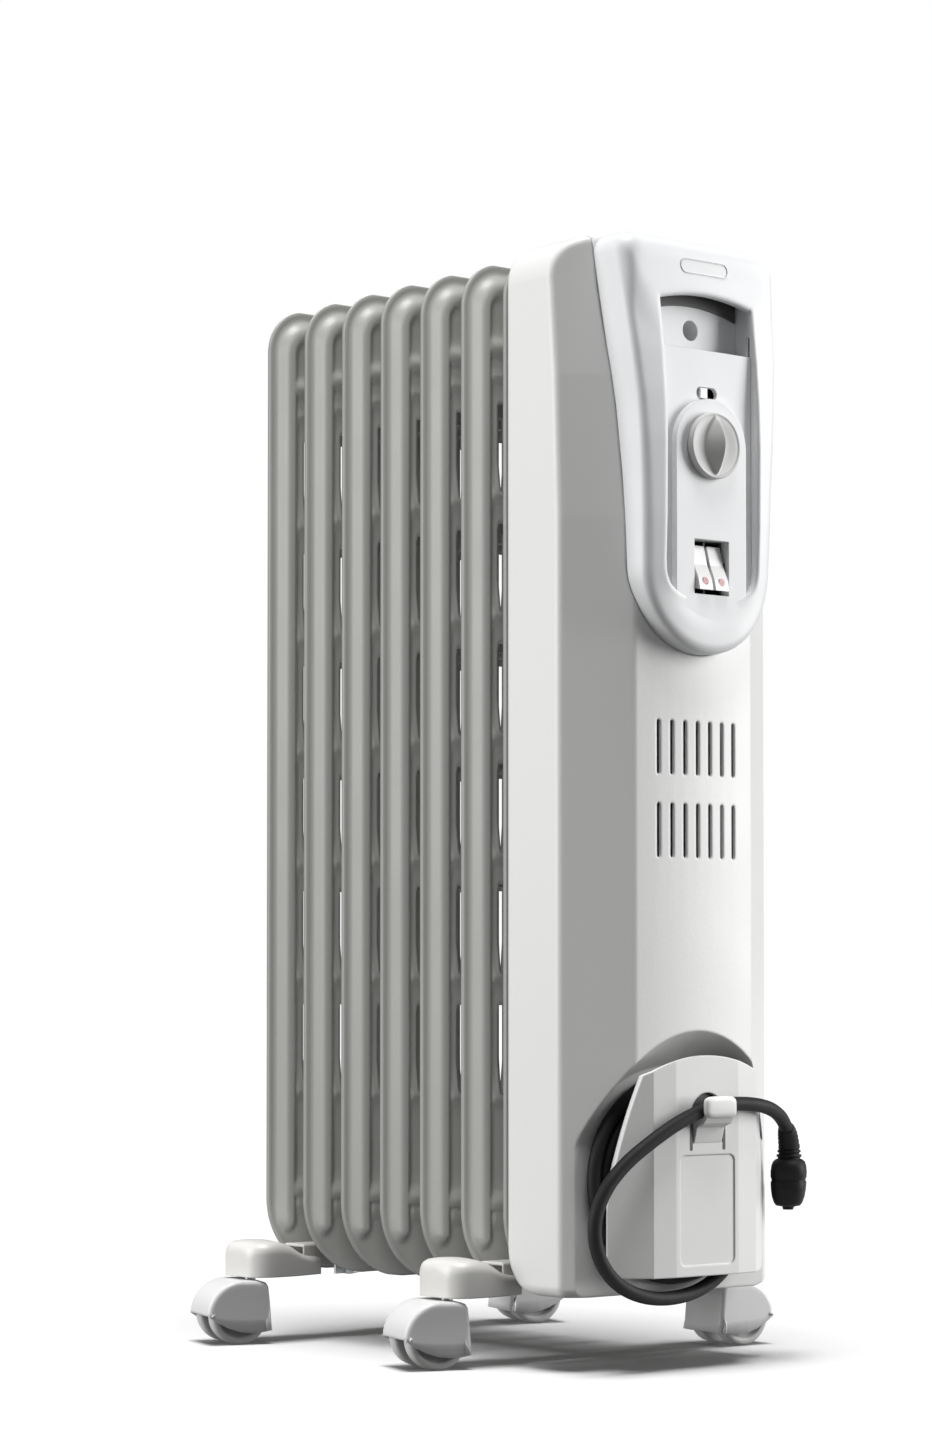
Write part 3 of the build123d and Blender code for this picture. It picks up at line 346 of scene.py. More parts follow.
# Plug: a moulded body with a grip waist on a ribbed neck, its three pins pointing away from the controls.
plug_top = Vector((79.0, -138.0, 121.5))
PLUG_TURN = math.radians(41)
PLUG_LEAN, PLUG_RISE = 0.03, 2.0
plug_out = Vector((math.cos(PLUG_TURN), math.sin(PLUG_TURN), 0))
plug_side = Vector((-plug_out.y, plug_out.x, 0))
plug_rows = [(1.2, 4.4, 4.4, 2), (1.0, 6.2, 6.0, 2)]
for ring in range(3):
    depth, wide = 2.6 * ring, 6.6 + 0.5 * ring
    plug_rows += [(-depth, wide, wide - 0.4, 2), (-depth - 1.2, wide + 0.1, wide - 0.3, 2),
                  (-depth - 1.5, wide - 0.8, wide - 1.1, 2), (-depth - 2.3, wide - 0.8, wide - 1.1, 2)]
plug_rows += [
    (-8.0, 8.4, 7.8, 2.2), (-9.2, 10.0, 9.2, 2.5), (-11.5, 11.1, 10.0, 2.8), (-15.0, 11.5, 10.4, 3.0),
    (-18.4, 11.3, 10.3, 3.0), (-19.2, 10.7, 9.8, 3.0), (-20.4, 10.7, 9.8, 3.0), (-21.2, 11.3, 10.3, 3.0),
    (-25.5, 11.0, 10.0, 3.0), (-29.5, 10.2, 9.4, 2.9), (-33.0, 8.8, 8.2, 2.8), (-34.6, 7.4, 7.0, 2.6),
    (-35.0, 5.2, 5.0, 2.4), (-35.2, 3.4, 3.4, 2.2), (-37.0, 3.0, 3.0, 2.2),
]
plug_sections = [
    turned_section(plug_top + Vector((PLUG_LEAN * drop, 0, drop + PLUG_RISE)), plug_out, plug_side,
                   half_out, half_side, power, 48)
    for drop, half_out, half_side, power in plug_rows
]
plug_piece = add_piece("plug_body", *loft(plug_sections), "heater", plug_rubber, "plug_rubber",
                       replaces=("power_plug",))

# Ribbed sleeve that carries the plug's neck up round the last bend of the lead.
bare_line = cord_line.copy()
bare_line.bevel_depth = 0.0
bare_lead = bpy.data.objects.new("bare_lead", bare_line)
scene.collection.objects.link(bare_lead)
bpy.context.view_layer.update()
line_mesh = bpy.data.meshes.new_from_object(bare_lead.evaluated_get(bpy.context.evaluated_depsgraph_get()))
line_points = [v.co / MM for v in line_mesh.vertices]
bpy.data.objects.remove(bare_lead)
SLEEVE_LENGTH = 15.0
sleeve_path, walked = [line_points[-1]], 0.0
for point in reversed(line_points[:-1]):
    step = (sleeve_path[-1] - point).length
    if step < 0.35:
        continue
    walked += step
    sleeve_path.append(point)
    if walked > SLEEVE_LENGTH:
        break
sleeve_sections = []
for i, point in enumerate(sleeve_path):
    share = i / (len(sleeve_path) - 1)
    before, after = sleeve_path[max(0, i - 1)], sleeve_path[min(len(sleeve_path) - 1, i + 1)]
    along = (after - before).normalized()
    across = along.cross(Vector((0, 1, 0))).normalized()
    ribbed = 0.35 * math.sin(2 * math.pi * share * 5.5)
    wide = 6.3 - 1.6 * share + ribbed if 0.02 < share < 0.96 else 6.0 - 1.9 * share
    sleeve_sections.append(turned_section(point, across, along.cross(across), wide, wide, 2, 32))
sleeve_piece = add_piece("plug_sleeve", *loft(sleeve_sections), "heater", plug_rubber, "plug_rubber")


# ---------------------------------------------------------------- oil fins
FIN_HALF = 77.0
FIN_LOW, FIN_HIGH = 40.0, 639.0
TOP_ROUND, LOW_ROUND = 28.0, 46.0
SLIT_LOW, SLIT_PITCH, SLIT_HEIGHT, SLIT_COUNT = 152.0, 70.5, 53.0, 6
SLIT_INNER, SLIT_OUTER = 14.0, 50.0
HEADER_HEIGHTS = (90.0, 590.0)
CHANNEL_INSET, CHANNEL_FOOT, RIDGE = 14.0, 71.0, 5.5


def rim_distance(x, z):
    """Distance in from a fin's outline."""
    inside = []
    for edge, away in ((FIN_HIGH - z, TOP_ROUND), (z - FIN_LOW, LOW_ROUND)):
        side = FIN_HALF - abs(x)
        if side < away and edge < away:
            inside.append(away - math.hypot(away - side, away - edge))
        else:
            inside.append(min(side, edge))
    return min(inside)


def channel_distance(x, z):
    """Distance in from a fin's sides and rounded top, straight on past its lower corners."""
    side, edge = FIN_HALF - abs(x), FIN_HIGH - z
    if side < TOP_ROUND and edge < TOP_ROUND:
        return TOP_ROUND - math.hypot(TOP_ROUND - side, TOP_ROUND - edge)
    return min(side, edge)


def half_width_at(z):
    """Half width of a fin's outline at a height."""
    for edge, away in ((FIN_HIGH - z, TOP_ROUND), (z - FIN_LOW, LOW_ROUND)):
        if edge < away:
            return FIN_HALF - away + math.sqrt(max(0.0, away * away - (away - edge) ** 2))
    return FIN_HALF


def cushion(distance, reach):
    """Rounded ridge profile: 1 along its middle, 0 from its reach outwards."""
    return 1 - smoothstep(0.12 * reach, reach, distance)


def fin_half_depth(x, z):
    """Half thickness of a fin: rolled rim, oil channel, headers and the stiffening ribs between slits."""
    rim = rim_distance(x, z)
    along = math.hypot(channel_distance(x, z) - CHANNEL_INSET, max(0.0, CHANNEL_FOOT - z))
    height = RIDGE * cushion(along, 9.6) * smoothstep(2.0, 6.0, rim)
    for header in HEADER_HEIGHTS:
        if abs(x) < 62:
            height = max(height, RIDGE * cushion(abs(z - header), 9.0))
        height = max(height, RIDGE * cushion(math.hypot(x, z - header) - 20, 12.0))
    if HEADER_HEIGHTS[0] < z < HEADER_HEIGHTS[1]:
        height = max(height, 4.2 * cushion(abs(x), 10.0))
    if 10 < abs(x) < 56:
        bridge = (SLIT_PITCH - SLIT_HEIGHT) / 2
        between = (z - SLIT_LOW + bridge) % SLIT_PITCH - bridge
        height = max(height, 3.2 * cushion(abs(between) if abs(between) < 9 else 9.0, 8.0)
                     * smoothstep(10, 16, abs(x)))
    sheet = 0.95 if rim > 3.4 else 0.95 + 0.35 * math.sin(math.pi * max(0.0, rim) / 3.4)
    return sheet + height


def fin_columns():
    """Places across a fin: close together over its channel and rim."""
    half = [0, 3, 6, 8, 10, 12, 14, 20, 32, 44, 50, 52, 53.8]
    half += [54.6 + 1.0 * i for i in range(17)] + [71.6, 72.6, 73.6, 74.4, 75.2, 76.0, 76.6, 77.0]
    return sorted({-x for x in half} | set(half))


def fin_rows():
    """Heights up a fin: close together round its corners, headers and slit ends."""
    rows = {FIN_LOW + LOW_ROUND * (1 - math.cos(math.pi / 2 * i / 14)) for i in range(15)}
    rows |= {FIN_HIGH - (TOP_ROUND + 8) * (1 - math.cos(math.pi / 2 * i / 24)) for i in range(25)}
    for header in HEADER_HEIGHTS:
        rows |= {header + d for d in (-34, -30, -26, -22, -16, -9, -7, -5, -3, 0, 3, 5, 7, 9, 16, 22)}
    rows |= {56 + 1.6 * i for i in range(12)}
    for i in range(SLIT_COUNT):
        low = SLIT_LOW + i * SLIT_PITCH
        rows |= {low, low + 4, low + 20, low + 36, low + 49, low + SLIT_HEIGHT}
        rows |= {low + SLIT_HEIGHT + d for d in (3.0, 6.0, 8.75, 11.5, 14.5)}
    rows |= {140.0, 143.0, 146.0, 149.0}
    kept = []
    for z in sorted(rows):
        if FIN_LOW <= z <= FIN_HIGH and (not kept or z - kept[-1] > 0.35):
            kept.append(z)
    return kept


def in_slit(x, z):
    """Whether a place on a fin lies in one of its open slits."""
    step = (z - SLIT_LOW) % SLIT_PITCH
    in_rows = SLIT_LOW < z < SLIT_LOW + SLIT_COUNT * SLIT_PITCH
    return SLIT_INNER < abs(x) < SLIT_OUTER and in_rows and step < SLIT_HEIGHT


def fin_mesh(plane_y):
    """Closed pressed-sheet fin with open slits."""
    columns, rows = fin_columns(), fin_rows()
    wide, tall = len(columns), len(rows)
    verts = []
    for face in (-1, 1):
        for z in rows:
            squeeze = half_width_at(z) / FIN_HALF
            for x in columns:
                depth = fin_half_depth(x * squeeze, z)
                if abs(x) == FIN_HALF or z in (rows[0], rows[-1]):
                    depth = 0.55
                verts.append((x * squeeze, plane_y + face * depth, z))
    back = wide * tall
    faces, used = [], set()
    for i in range(tall - 1):
        for j in range(wide - 1):
            if in_slit((columns[j] + columns[j + 1]) / 2, (rows[i] + rows[i + 1]) / 2):
                continue
            used.add((i, j))
            a, b, c, d = i * wide + j, i * wide + j + 1, (i + 1) * wide + j + 1, (i + 1) * wide + j
            faces += [(a, b, c, d), (back + d, back + c, back + b, back + a)]
    for i, j in used:
        a, b, c, d = i * wide + j, i * wide + j + 1, (i + 1) * wide + j + 1, (i + 1) * wide + j
        for neighbour, (p, q) in (((i - 1, j), (a, b)), ((i, j + 1), (b, c)), ((i + 1, j), (c, d)),
                                  ((i, j - 1), (d, a))):
            if neighbour not in used:
                faces.append((q, p, back + p, back + q))
    keep = sorted({v for f in faces for v in f})
    number = {old: new for new, old in enumerate(keep)}
    return [verts[v] for v in keep], [tuple(number[v] for v in f) for f in faces]


fins = bpy.data.collections.new("fins")
for index in range(1, 8):
    low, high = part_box(f"fin_{index}")
    fin_y = (low.y + high.y) / 2 / MM
    fins.objects.link(add_piece(f"pressed_fin_{index}", *fin_mesh(fin_y), "heater", fin_paint, "fin_paint",
                                replaces=(f"fin_{index}",)))


# ---------------------------------------------------------------- casters
WHEEL_MIDDLE = 11.75
TRAIL = 11.5
WHEEL_RADIUS = 18.0
WHEEL_PROFILE = [
    (2.6, 3.6), (4.6, 3.6), (5.2, 3.0), (5.4, 1.6), (7.0, 1.2), (11.5, 1.6), (13.2, 3.2), (13.8, 4.7),
    (14.6, 5.1), (16.2, 5.05), (17.3, 4.5), (17.9, 3.4), (18.0, 1.0), (18.0, -1.0), (17.9, -3.4),
    (17.3, -4.5), (16.2, -5.05), (2.6, -5.05),
]
HOOD_ROUND = 21.5
WEB_OUTLINE = [(-4.4, 11), (-3.0, 35.4), (22, 35.4), (25, 30), (22, 18.5), (12, 12.5)]
CORNERS = {
    "front_left": (-103.5, -47.0, 162.6), "front_right": (103.5, -47.0, -6.0),
    "rear_left": (-103.5, 143.0, 162.6), "rear_right": (103.5, 143.0, -17.4),
}


def placed(points, x, y, turn):
    """Points of a caster, drawn about its swivel axis, turned and moved to its corner."""
    c, s = math.cos(math.radians(turn)), math.sin(math.radians(turn))
    return [(x + c * u - s * v, y + s * u + c * v, z) for u, v, z in points]


def hood_arc():
    """Outline of a hood from the stem side's foot, over the top and down to the trailing end."""
    points = [
        (-8.5, 8.6), (-8.1, 14), (-7.6, 20), (-7.1, 26), (-6.6, 31), (-6.0, 34.8), (-4.5, 37.0),
        (-1.8, 38.0), (2.5, 38.3), (6.5, 38.4),
    ]
    for i in range(25):
        angle = math.radians(97 - i * (97 - 2) / 24)
        points.append((11 + HOOD_ROUND * math.cos(angle), 17 + HOOD_ROUND * math.sin(angle)))
    return points


def hood_foot(share):
    """Lower edge of a hood's side, from the stem side to the trailing end."""
    foot = [(-8.5, 8.6), (-2, 7.3), (5, 7.0), (12, 7.8), (19, 10.0), (26, 13.4), (32.49, 17.75)]
    at = share * (len(foot) - 1)
    i = min(int(at), len(foot) - 2)
    t = at - i
    return tuple(a + (b - a) * t for a, b in zip(foot[i], foot[i + 1]))


def hood_mesh(half_width, rounding):
    """Skin of a hood: two flat sides with rounded creases, joined over the top."""
    arc = hood_arc()
    rows = []
    for i, (u, z) in enumerate(arc):
        before, after = arc[max(0, i - 1)], arc[min(len(arc) - 1, i + 1)]
        along = Vector((after[0] - before[0], after[1] - before[1])).normalized()
        inward = Vector((along.y, -along.x))
        foot = hood_foot(i / (len(arc) - 1))
        inset = []
        for k in range(6):
            turn = math.pi / 2 * k / 5
            step = rounding * (1 - math.sin(turn))
            across = half_width - rounding * (1 - math.cos(turn))
            inset.append((u + inward.x * step, across, z + inward.y * step))
        face = []
        for t in (0.0, 0.3, 0.65, 0.92):
            face.append((foot[0] + (inset[0][0] - foot[0]) * t, half_width,
                         foot[1] + (inset[0][2] - foot[1]) * t))
        crown = [(u, v, z) for v in (half_width * 0.5, 0.0)]
        one_side = face + inset
        other_side = [(a, -v, c) for a, v, c in reversed(one_side)]
        rows.append(one_side + crown + [(u, -half_width * 0.5, z)] + other_side)
    verts = [p for row in rows for p in row]
    return verts, grid_faces(len(rows), len(rows[0]))


def wheel_mesh(middle, facing):
    """Lathed wheel: rounded tyre, groove, dished disc and hub."""
    count = 56
    verts = []
    for radius, offset in WHEEL_PROFILE:
        for i in range(count):
            angle = 2 * math.pi * i / count
            verts.append((TRAIL + radius * math.cos(angle), middle + facing * offset,
                          WHEEL_RADIUS + radius * math.sin(angle)))
    faces = grid_faces(len(WHEEL_PROFILE), count, closed_rows=True, closed_columns=True)
    if facing > 0:
        faces = [tuple(reversed(f)) for f in faces]
    return verts, faces


for corner, (at_x, at_y, turn) in CORNERS.items():
    body = f"caster_{corner}"
    verts, faces = hood_mesh(19.0, 2.8)
    hood = add_piece(f"hood_{corner}", placed(verts, at_x, at_y, turn), faces, body, caster_plastic,
                     "caster_plastic", replaces=(f"caster_hood_{corner}",))
    wall = hood.modifiers.new("wall", "SOLIDIFY")
    wall.thickness = 1.6 * MM
    wall.offset = -1.0
    # Centre web between the twin wheels, coloured dark grey as painted shade for the gap between them.
    sections = [[(u, v, z) for u, z in WEB_OUTLINE] for v in (-4.8, 4.8)]
    verts, faces = loft(sections)
    web_piece = add_piece(f"web_{corner}", placed(verts, at_x, at_y, turn), faces, body, shadow_plastic,
                          "dark_plastic", smooth=False)
    soften_edges(web_piece, 0.6)
    for letter, side in (("a", 1), ("b", -1)):
        verts, faces = wheel_mesh(side * WHEEL_MIDDLE, side)
        wheel = f"wheel_{letter}_{corner}"
        add_piece(wheel, placed(verts, at_x, at_y, turn), faces, wheel, wheel_plastic, "wheel_plastic",
                  replaces=(f"caster_{wheel}",))


# ---------------------------------------------------------------- cross brackets
PAD_LOW = 40.0
PAD_ROWS = [
    (113.0, 54.2, 3.5), (112.7, 56.0, 5.0), (112.0, 57.6, 6.0), (110.5, 59.2, 6.5), (108.0, 60.2, 7.0),
    (104.0, 60.8, 7.0), (99.0, 61.0, 7.0), (94.0, 60.8, 7.0), (89.0, 59.6, 6.5), (84.0, 57.0, 6.0),
    (79.0, 54.0, 5.0), (74.0, 52.0, 4.0), (68.0, 50.6, 3.5), (62.0, 50.0, 3.0),
]
BAR_OUTLINE = [
    (-10, 44.5), (-10, 57), (-9, 58), (9, 58), (10, 57), (10, 44.5), (8.6, 44.5), (8.6, 56.2), (-8.6, 56.2),
    (-8.6, 44.5),
]


def bracket_sections(side, middle_y):
    """Sections of an end pad, tip inwards: flat underneath and round shouldered on top."""
    sections = []
    for x, top, shoulder in PAD_ROWS:
        half = 8.0 + math.sqrt(max(0.0, 14.0 ** 2 - max(0.0, x - 99.0) ** 2)) if x > 99 else 22.0
        half -= max(0.0, 84.0 - x) * 0.22
        upper = [(half, PAD_LOW), (half, PAD_LOW + 0.5 * (top - shoulder - PAD_LOW))]
        for k in range(7):
            angle = math.pi / 2 * k / 6
            upper.append((half - shoulder * (1 - math.cos(angle)), top - shoulder * (1 - math.sin(angle))))
        upper += [(share * (half - shoulder), top + 1.0 - share * share) for share in (0.75, 0.4)]
        ring = upper + [(0.0, top + 1.0)] + [(-y, z) for y, z in reversed(upper)]
        ring += [(-0.5 * half, PAD_LOW), (0.0, PAD_LOW), (0.5 * half, PAD_LOW)]
        sections.append([(side * x, middle_y + side * y, z) for y, z in ring])
    return sections


for name in ("bracket_front", "bracket_rear"):
    low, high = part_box(name)
    middle_y = (low.y + high.y) / 2 / MM
    for side, word in ((-1, "left"), (1, "right")):
        pad = add_piece(f"{name}_pad_{word}", *loft(bracket_sections(side, middle_y)), "heater",
                        bracket_paint, "bracket_plastic")
        soften_edges(pad, 0.9)
    bar = [[(x, middle_y + y_side, z) for y_side, z in BAR_OUTLINE] for x in (-70, -60, 60, 70)]
    bar_piece = add_piece(f"{name}_bar", *loft(bar), "heater", bracket_paint, "bracket_plastic",
                          smooth=False, replaces=(name,))
    soften_edges(bar_piece, 0.5)


# ---------------------------------------------------------------- thermostat knob
KNOB_CENTRE_Z = 522.0
KNOB_RADIUS = 19.0
KNOB_DISC = 18.6
KNOB_FACE_Y = -161.5
KNOB_BACK_Y = -158.0
KNOB_RINGS = 44
KNOB_SPOKES = 96


def knob_height(x, z):
    """How far the knob's face stands out: a raised rim, a shallow dish and a blade-shaped grip."""
    radius = math.hypot(x, z)
    rim = 0.45 * cushion(abs(radius - 18.0), 1.2)
    dish = -0.9 * (1 - smoothstep(8.0, 17.2, radius))
    lens = max(0.0, 1 - (z / 17.0) ** 2)
    width, crest = 7.4 * lens, 8.6 * lens ** 0.85
    blade = crest * max(0.0, 1 - abs(x) / width) ** 0.85 if width > 0.05 else 0.0
    return rim + dish + max(0.0, blade)


knob_verts = []
for ring in range(KNOB_RINGS + 1):
    radius = min(KNOB_DISC, KNOB_DISC * (ring + 0.02) / KNOB_RINGS)
    for spoke in range(KNOB_SPOKES):
        angle = 2 * math.pi * spoke / KNOB_SPOKES
        x, z = radius * math.cos(angle), radius * math.sin(angle)
        knob_verts.append((x, KNOB_FACE_Y - knob_height(x, z), KNOB_CENTRE_Z + z))
knob_side = [
    (KNOB_RADIUS - 0.1, KNOB_FACE_Y + 0.25), (KNOB_RADIUS, KNOB_FACE_Y + 0.7),
    (KNOB_RADIUS, KNOB_BACK_Y - 0.2), (KNOB_RADIUS - 1.0, KNOB_BACK_Y), (3.2, KNOB_BACK_Y),
]
for radius, y in knob_side:
    for spoke in range(KNOB_SPOKES):
        angle = 2 * math.pi * spoke / KNOB_SPOKES
        knob_verts.append((radius * math.cos(angle), y, KNOB_CENTRE_Z + radius * math.sin(angle)))
knob_faces = grid_faces(KNOB_RINGS + 1 + len(knob_side), KNOB_SPOKES, closed_rows=True, closed_columns=True)
add_piece("knob_cap", knob_verts, knob_faces, "knob", knob_plastic, "knob_plastic",
          replaces=("thermostat_knob",))


# ---------------------------------------------------------------- control bezel
BEZEL_HALF = 48.5
BEZEL_ARC_Z = 452.5
BEZEL_TOP_Z = 641.0
OPEN_HALF = 35.0
OPEN_ARC_Z = 455.0
LIP_SIDE_Z = 603.0
FLARE = [(452.5, 48.5), (504, 50.1), (543, 52.3), (577, 55.5), (624, 59.0), (645, 60.0)]
FRONT_LINE = [
    (380, -158.2), (440, -158.8), (480, -160.2), (525, -160.5), (550, -159.6), (575, -157.6), (603, -154.0),
    (625, -152.0), (645, -151.0),
]
TOP_CORNER = 11.0
LIP_EDGE = 1.4


def front_y(x, z):
    """Place of the control front's bowed surface."""
    return along_line(FRONT_LINE, z) + 1.2 * (x / 60) ** 2


def bezel_stations():
    """Matched places on the bezel's outer edge and opening: (outer, inner, how far up, plinth blend)."""
    half = []
    for k in range(25):
        angle = math.pi / 2 * k / 24
        x, z = math.sin(angle), -math.cos(angle)
        blend = 1 - smoothstep(0.45, 1.35, angle)
        reach = OPEN_HALF - 11.0 * blend
        outer = (BEZEL_HALF * x, BEZEL_ARC_Z + BEZEL_HALF * z)
        half.append((outer, (reach * x, OPEN_ARC_Z + reach * z), 0.0, blend))
    for k in range(1, 49):
        share = k / 48
        z = BEZEL_ARC_Z + share * (BEZEL_TOP_Z - TOP_CORNER - BEZEL_ARC_Z)
        inner = (OPEN_HALF, OPEN_ARC_Z + share * (LIP_SIDE_Z + 0.6 - OPEN_ARC_Z))
        half.append(((along_line(FLARE, z), z), inner, smoothstep(0.8, 1.0, share), 0.0))
    corner_x = along_line(FLARE, BEZEL_TOP_Z - TOP_CORNER) - TOP_CORNER
    corner_z = BEZEL_TOP_Z - TOP_CORNER
    for k in range(1, 11):
        angle = math.pi / 2 * k / 10
        x = OPEN_HALF - 1.6 * (1 - math.cos(angle))
        outer = (corner_x + TOP_CORNER * math.cos(angle), corner_z + TOP_CORNER * math.sin(angle))
        half.append((outer, (x, LIP_SIDE_Z + 0.6 + 0.5 * math.sin(angle)), 1.0, 0.0))
    for k in range(1, 21):
        share = 1 - k / 20
        x = (OPEN_HALF - 1.6) * share
        inner = (x, LIP_SIDE_Z + 1.1 + 4.4 * (1 - share ** 2))
        half.append(((corner_x * share, BEZEL_TOP_Z), inner, 1.0, 0.0))
    mirrored = [((-o[0], o[1]), (-i[0], i[1]), up, blend) for o, i, up, blend in reversed(half[1:-1])]
    return half + mirrored


PLINTH_FACE_Y = -157.2
SKIRT_REAR_Y = -124.0
SHOULDER_DEPTHS = (0.12, 0.4, 0.9, 1.6, 2.6, 3.8, 5.2, 6.8, 8.4)
FACE_SHARES = (0.15, 0.35, 0.55, 0.75, 0.9)
EDGE_ROUNDING = ((1.4, 0.0), (0.8, 0.08), (0.35, 0.32), (0.1, 0.75), (0.0, 1.4))


def bezel_section(outer, inner, up, blend):
    """Points across the bezel's frame: up its outer wall, over the face and down into the opening."""
    width = (inner - outer).length
    inward = (inner - outer) / width
    shoulder = 5.0 + 7.0 * up

    def face_y(depth):
        place = outer + inward * depth
        front = front_y(place.x, place.y)
        bend = max(0.0, 1 - depth / shoulder)
        y = front + shoulder * (1 - math.sqrt(max(0.0, 1 - bend * bend))) * (0.75 + 0.25 * up)
        slope = smoothstep(0.4, 1.0, depth / width) * (1 - up)
        lean = 3.0 * (1 - depth / width) * (1 - up)
        return y + lean * (1 - 0.6 * blend) + (PLINTH_FACE_Y - front) * slope * blend

    rear = SKIRT_REAR_Y + 9.0 * up
    section = [(outer.x, rear + share * (face_y(0.0) - rear), outer.y) for share in (0.0, 0.5, 1.0)]
    face_start = SHOULDER_DEPTHS[-1]
    face_width = width - LIP_EDGE - face_start
    for depth in (*SHOULDER_DEPTHS, *[face_start + share * face_width for share in FACE_SHARES]):
        place = outer + inward * depth
        section.append((place.x, face_y(depth), place.y))
    edge_y = face_y(width - LIP_EDGE)
    for depth, lift in EDGE_ROUNDING:
        place = outer + inward * (width - depth)
        section.append((place.x, edge_y + lift * (1 - blend), place.y))
    floor_y = -149.5 if up > 0.5 else -152.6
    section.append((inner.x, floor_y * (1 - blend) + (PLINTH_FACE_Y + 0.6) * blend, inner.y))
    return section


bezel_sections = [
    bezel_section(Vector(outer), Vector(inner), up, blend) for outer, inner, up, blend in bezel_stations()
]
verts = [point for section in bezel_sections for point in section]
faces = grid_faces(len(bezel_sections), len(bezel_sections[0]), closed_rows=True)
add_piece("bezel_frame", verts, faces, "heater", bezel_plastic, "bezel_plastic",
          replaces=("control_bezel",))


# ---------------------------------------------------------------- badge rim, grip and winder details
def band_piece(name, outline, width, depth, body, material, slot):
    """Raised rim that follows a closed outline on the bezel's front."""
    sections = []
    count = len(outline)
    for i, (x, z) in enumerate(outline):
        before, after = outline[i - 1], outline[(i + 1) % count]
        along = Vector((after[0] - before[0], after[1] - before[1])).normalized()
        out = Vector((along.y, -along.x))
        y = front_y(x, z)
        sections.append([
            (x + out.x * step, y - lift, z + out.y * step)
            for step, lift in ((-width, -0.3), (-0.6 * width, depth), (0.6 * width, depth), (width, -0.3))
        ])
    verts = [p for section in sections for p in section]
    return add_piece(name, verts, grid_faces(count, 4, closed_rows=True), body, material, slot)


def rounded_outline(half_x, low, high, radius):
    """Rounded rectangle of (x, z) points, centred on x = 0."""
    steps = 8
    points = []
    for cx, cz, start in ((half_x - radius, high - radius, 0), (-half_x + radius, high - radius, 90),
                          (-half_x + radius, low + radius, 180), (half_x - radius, low + radius, 270)):
        for k in range(steps + 1):
            angle = math.radians(start + 90 * k / steps)
            points.append((cx + radius * math.cos(angle), cz + radius * math.sin(angle)))
    return points


band_piece("badge_rim", rounded_outline(18.0, 620.5, 628.5, 3.9), 0.55, 0.3, "heater", bezel_plastic,
           "bezel_plastic")

# Dark arched sheet standing for the unlit hollow above the grip's back wall.
HOLLOW_HALF = 34.5
hollow = [(HOLLOW_HALF, 634.0), (-HOLLOW_HALF, 634.0)]
for k in range(21):
    x = -HOLLOW_HALF + 3.45 * k
    hollow.append((x, 598.5 + 5.5 * (1 - (x / HOLLOW_HALF) ** 2)))
sections = [[(x, y, z) for x, z in hollow] for y in (-141.2, -140.2)]
add_piece("grip_hollow", *loft(sections), "heater", shadow_plastic, "dark_plastic", smooth=False)

# Rounded end of the winder's tongue. A dark sheet behind the cover and a dark strip over each slot beside
# the tongue stand for the unlit inside.
SLOT_X = 12.6
SLOT_MIDDLE_Z = 131.0
SLOT_PROBE = 2.4
BEFORE_FRONT = -0.3
tongue_rows = [
    (-165.3, 9.0, 3.4), (-165.1, 10.6, 4.9), (-164.4, 11.7, 5.8), (-163.4, 12.2, 6.2), (-162.4, 11.8, 5.9),
    (-161.9, 10.8, 5.0),
]
tongue = [
    turned_section(Vector((0, y, 148.0)), Vector((1, 0, 0)), Vector((0, 0, 1)), half_x, half_z, 4.6, 48)
    for y, half_x, half_z in tongue_rows
]
add_piece("tongue_end", *loft(tongue), "heater", winder_plastic, "winder_plastic")
inside = [[(x, y, z) for x, z in rounded_outline(17.0, 124.5, 158.5, 4.0)] for y in (-150.45, -149.2)]
add_piece("winder_inside", *loft(inside), "heater", dark_plastic, "dark_plastic", smooth=False)
cover = frame["nodes"]["winder_cover"]
for word, side in (("left", -1), ("right", 1)):
    slot_x = SLOT_X * side
    start = Vector(((slot_x + SLOT_PROBE * side) * MM, BEFORE_FRONT, SLOT_MIDDLE_Z * MM))
    _, place, _, _ = cover.ray_cast(start, Vector((0, 1, 0)))
    front = place.y / MM
    sheet = [[(slot_x + x, y, z) for x, z in rounded_outline(1.05, 123.5, 139.5, 1.0)]
             for y in (front - 0.12, front + 0.5)]
    add_piece(f"tongue_slot_{word}", *loft(sheet), "heater", shadow_plastic, "dark_plastic", smooth=False)


# ---------------------------------------------------------------- finishes of the kept CAD pieces
CAD_FINISHES = {
    header_paint: ("header_collars", "header_cap_lower", "header_cap_upper", "header_cap_front"),
    casing_paint: ("casing",),
    plate_plastic: ("face_plate", "handle_insert"),
    rocker_plastic: ("rocker_left", "rocker_right", "slide_button"),
    red_lens: ("rocker_lens_left", "rocker_lens_right"),
    dark_plastic: ("thermostat_body", "switch_body", "slide_switch_body", "terminal_block"),
    zinc: ("thermostat_shaft", "chassis_plate", "u_bolts", "wing_nuts", "caster_stems",
           *[f"caster_axle_{corner}" for corner in CORNERS]),
    brass: ("element_flange", "thermal_cutout", "plug_pins"),
    tube_steel: ("heating_element",),
    wire_rubber: ("internal_wiring",),
    winder_plastic: ("winder_cover", "winder_hub"),
    plug_rubber: ("strain_relief",),
}
for finish, names in CAD_FINISHES.items():
    for name in names:
        cad_mesh = frame["nodes"][name].data
        cad_mesh.materials.clear()
        cad_mesh.materials.append(finish)


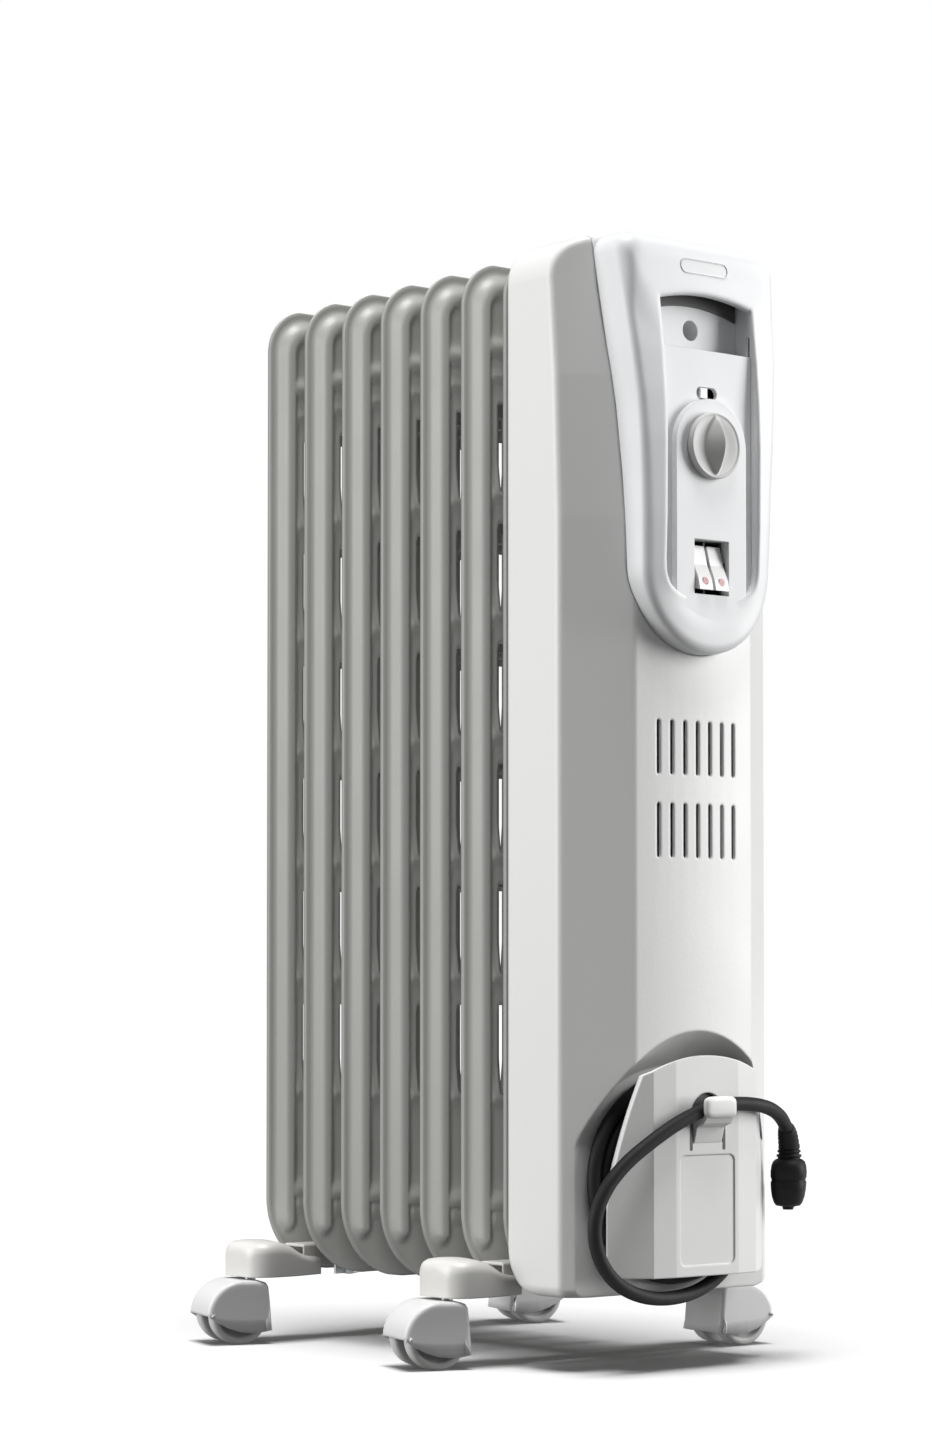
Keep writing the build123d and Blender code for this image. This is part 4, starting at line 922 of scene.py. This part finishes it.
# ---------------------------------------------------------------- floor and light
floor_paint = surface("floor_paint", "F4F4F4", 0.85, grain=60, bump=0.02, mottle=0.004, spread=2,
                      specular=0.1)
FLOOR_REACH = 30.0
floor_mesh = bpy.data.meshes.new("floor")
floor_mesh.from_pydata([(-FLOOR_REACH, -FLOOR_REACH, 0), (FLOOR_REACH, -FLOOR_REACH, 0),
                        (FLOOR_REACH, FLOOR_REACH, 0), (-FLOOR_REACH, FLOOR_REACH, 0)], [], [(0, 1, 2, 3)])
floor_mesh.materials.append(floor_paint)
floor = bpy.data.objects.new("floor", floor_mesh)
scene.collection.objects.link(floor)
floor.visible_diffuse = False  # the floor gives the object no bounce light
floor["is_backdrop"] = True

world = bpy.data.worlds.new("studio")
world.use_nodes = True
scene.world = world
tree = world.node_tree
seen_rays = tree.nodes.new("ShaderNodeLightPath")
seen = tree.nodes.new("ShaderNodeBackground")
seen.inputs["Color"].default_value = (1, 1, 1, 1)
ambient = tree.nodes["Background"]
ambient.inputs["Color"].default_value = (1, 1, 1, 1)
ambient.inputs["Strength"].default_value = 0.15
choose = tree.nodes.new("ShaderNodeMixShader")
tree.links.new(seen_rays.outputs["Is Camera Ray"], choose.inputs["Fac"])
tree.links.new(ambient.outputs["Background"], choose.inputs[1])
tree.links.new(seen.outputs["Background"], choose.inputs[2])
tree.links.new(choose.outputs["Shader"], tree.nodes["World Output"].inputs["Surface"])


def softbox(name, place, aim, size, power, lit):
    """Soft rectangular lamp aimed at a place, for the objects of one collection."""
    light = bpy.data.lights.new(name, "AREA")
    light.shape = "RECTANGLE"
    light.size, light.size_y = size
    light.energy = power
    lamp = bpy.data.objects.new(name, light)
    lamp.location = place
    lamp.rotation_euler = (Vector(aim) - Vector(place)).to_track_quat("-Z", "Y").to_euler()
    lamp.light_linking.receiver_collection = lit
    scene.collection.objects.link(lamp)


# Two boxes light everything but the fins and the floor, and three light only the fins.
shell = bpy.data.collections.new("shell")
for thing in scene.objects:
    if thing.type in {"MESH", "CURVE"} and thing.name not in fins.objects and thing != floor:
        shell.objects.link(thing)
softbox("left_box", (-2.4, 1.2, 0.9), (0, 0.05, 0.35), (1.6, 2.2), 75, shell)
softbox("right_box", (2.2, -1.6, 1.0), (0, -0.1, 0.35), (1.4, 2.0), 88, shell)
softbox("fin_fill", (-1.6, -1.5, 0.9), (0, 0.05, 0.35), (1.2, 1.6), 34, fins)
softbox("fin_side", (-2.4, 1.2, 0.9), (0, 0.05, 0.35), (1.6, 2.2), 13, fins)
softbox("rear_box", (1.3, 2.6, 1.3), (0, 0.1, 0.35), (1.6, 2.0), 30, fins)
overhead = bpy.data.lights.new("overhead", "SUN")
overhead.energy = 3.5
overhead.angle = math.radians(32)
overhead_lamp = bpy.data.objects.new("overhead", overhead)
overhead_lamp.rotation_euler = (math.radians(6), math.radians(-5), 0)
scene.collection.objects.link(overhead_lamp)
scene.view_settings.view_transform = "Standard"

bpy.context.view_layer.update()
low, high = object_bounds()
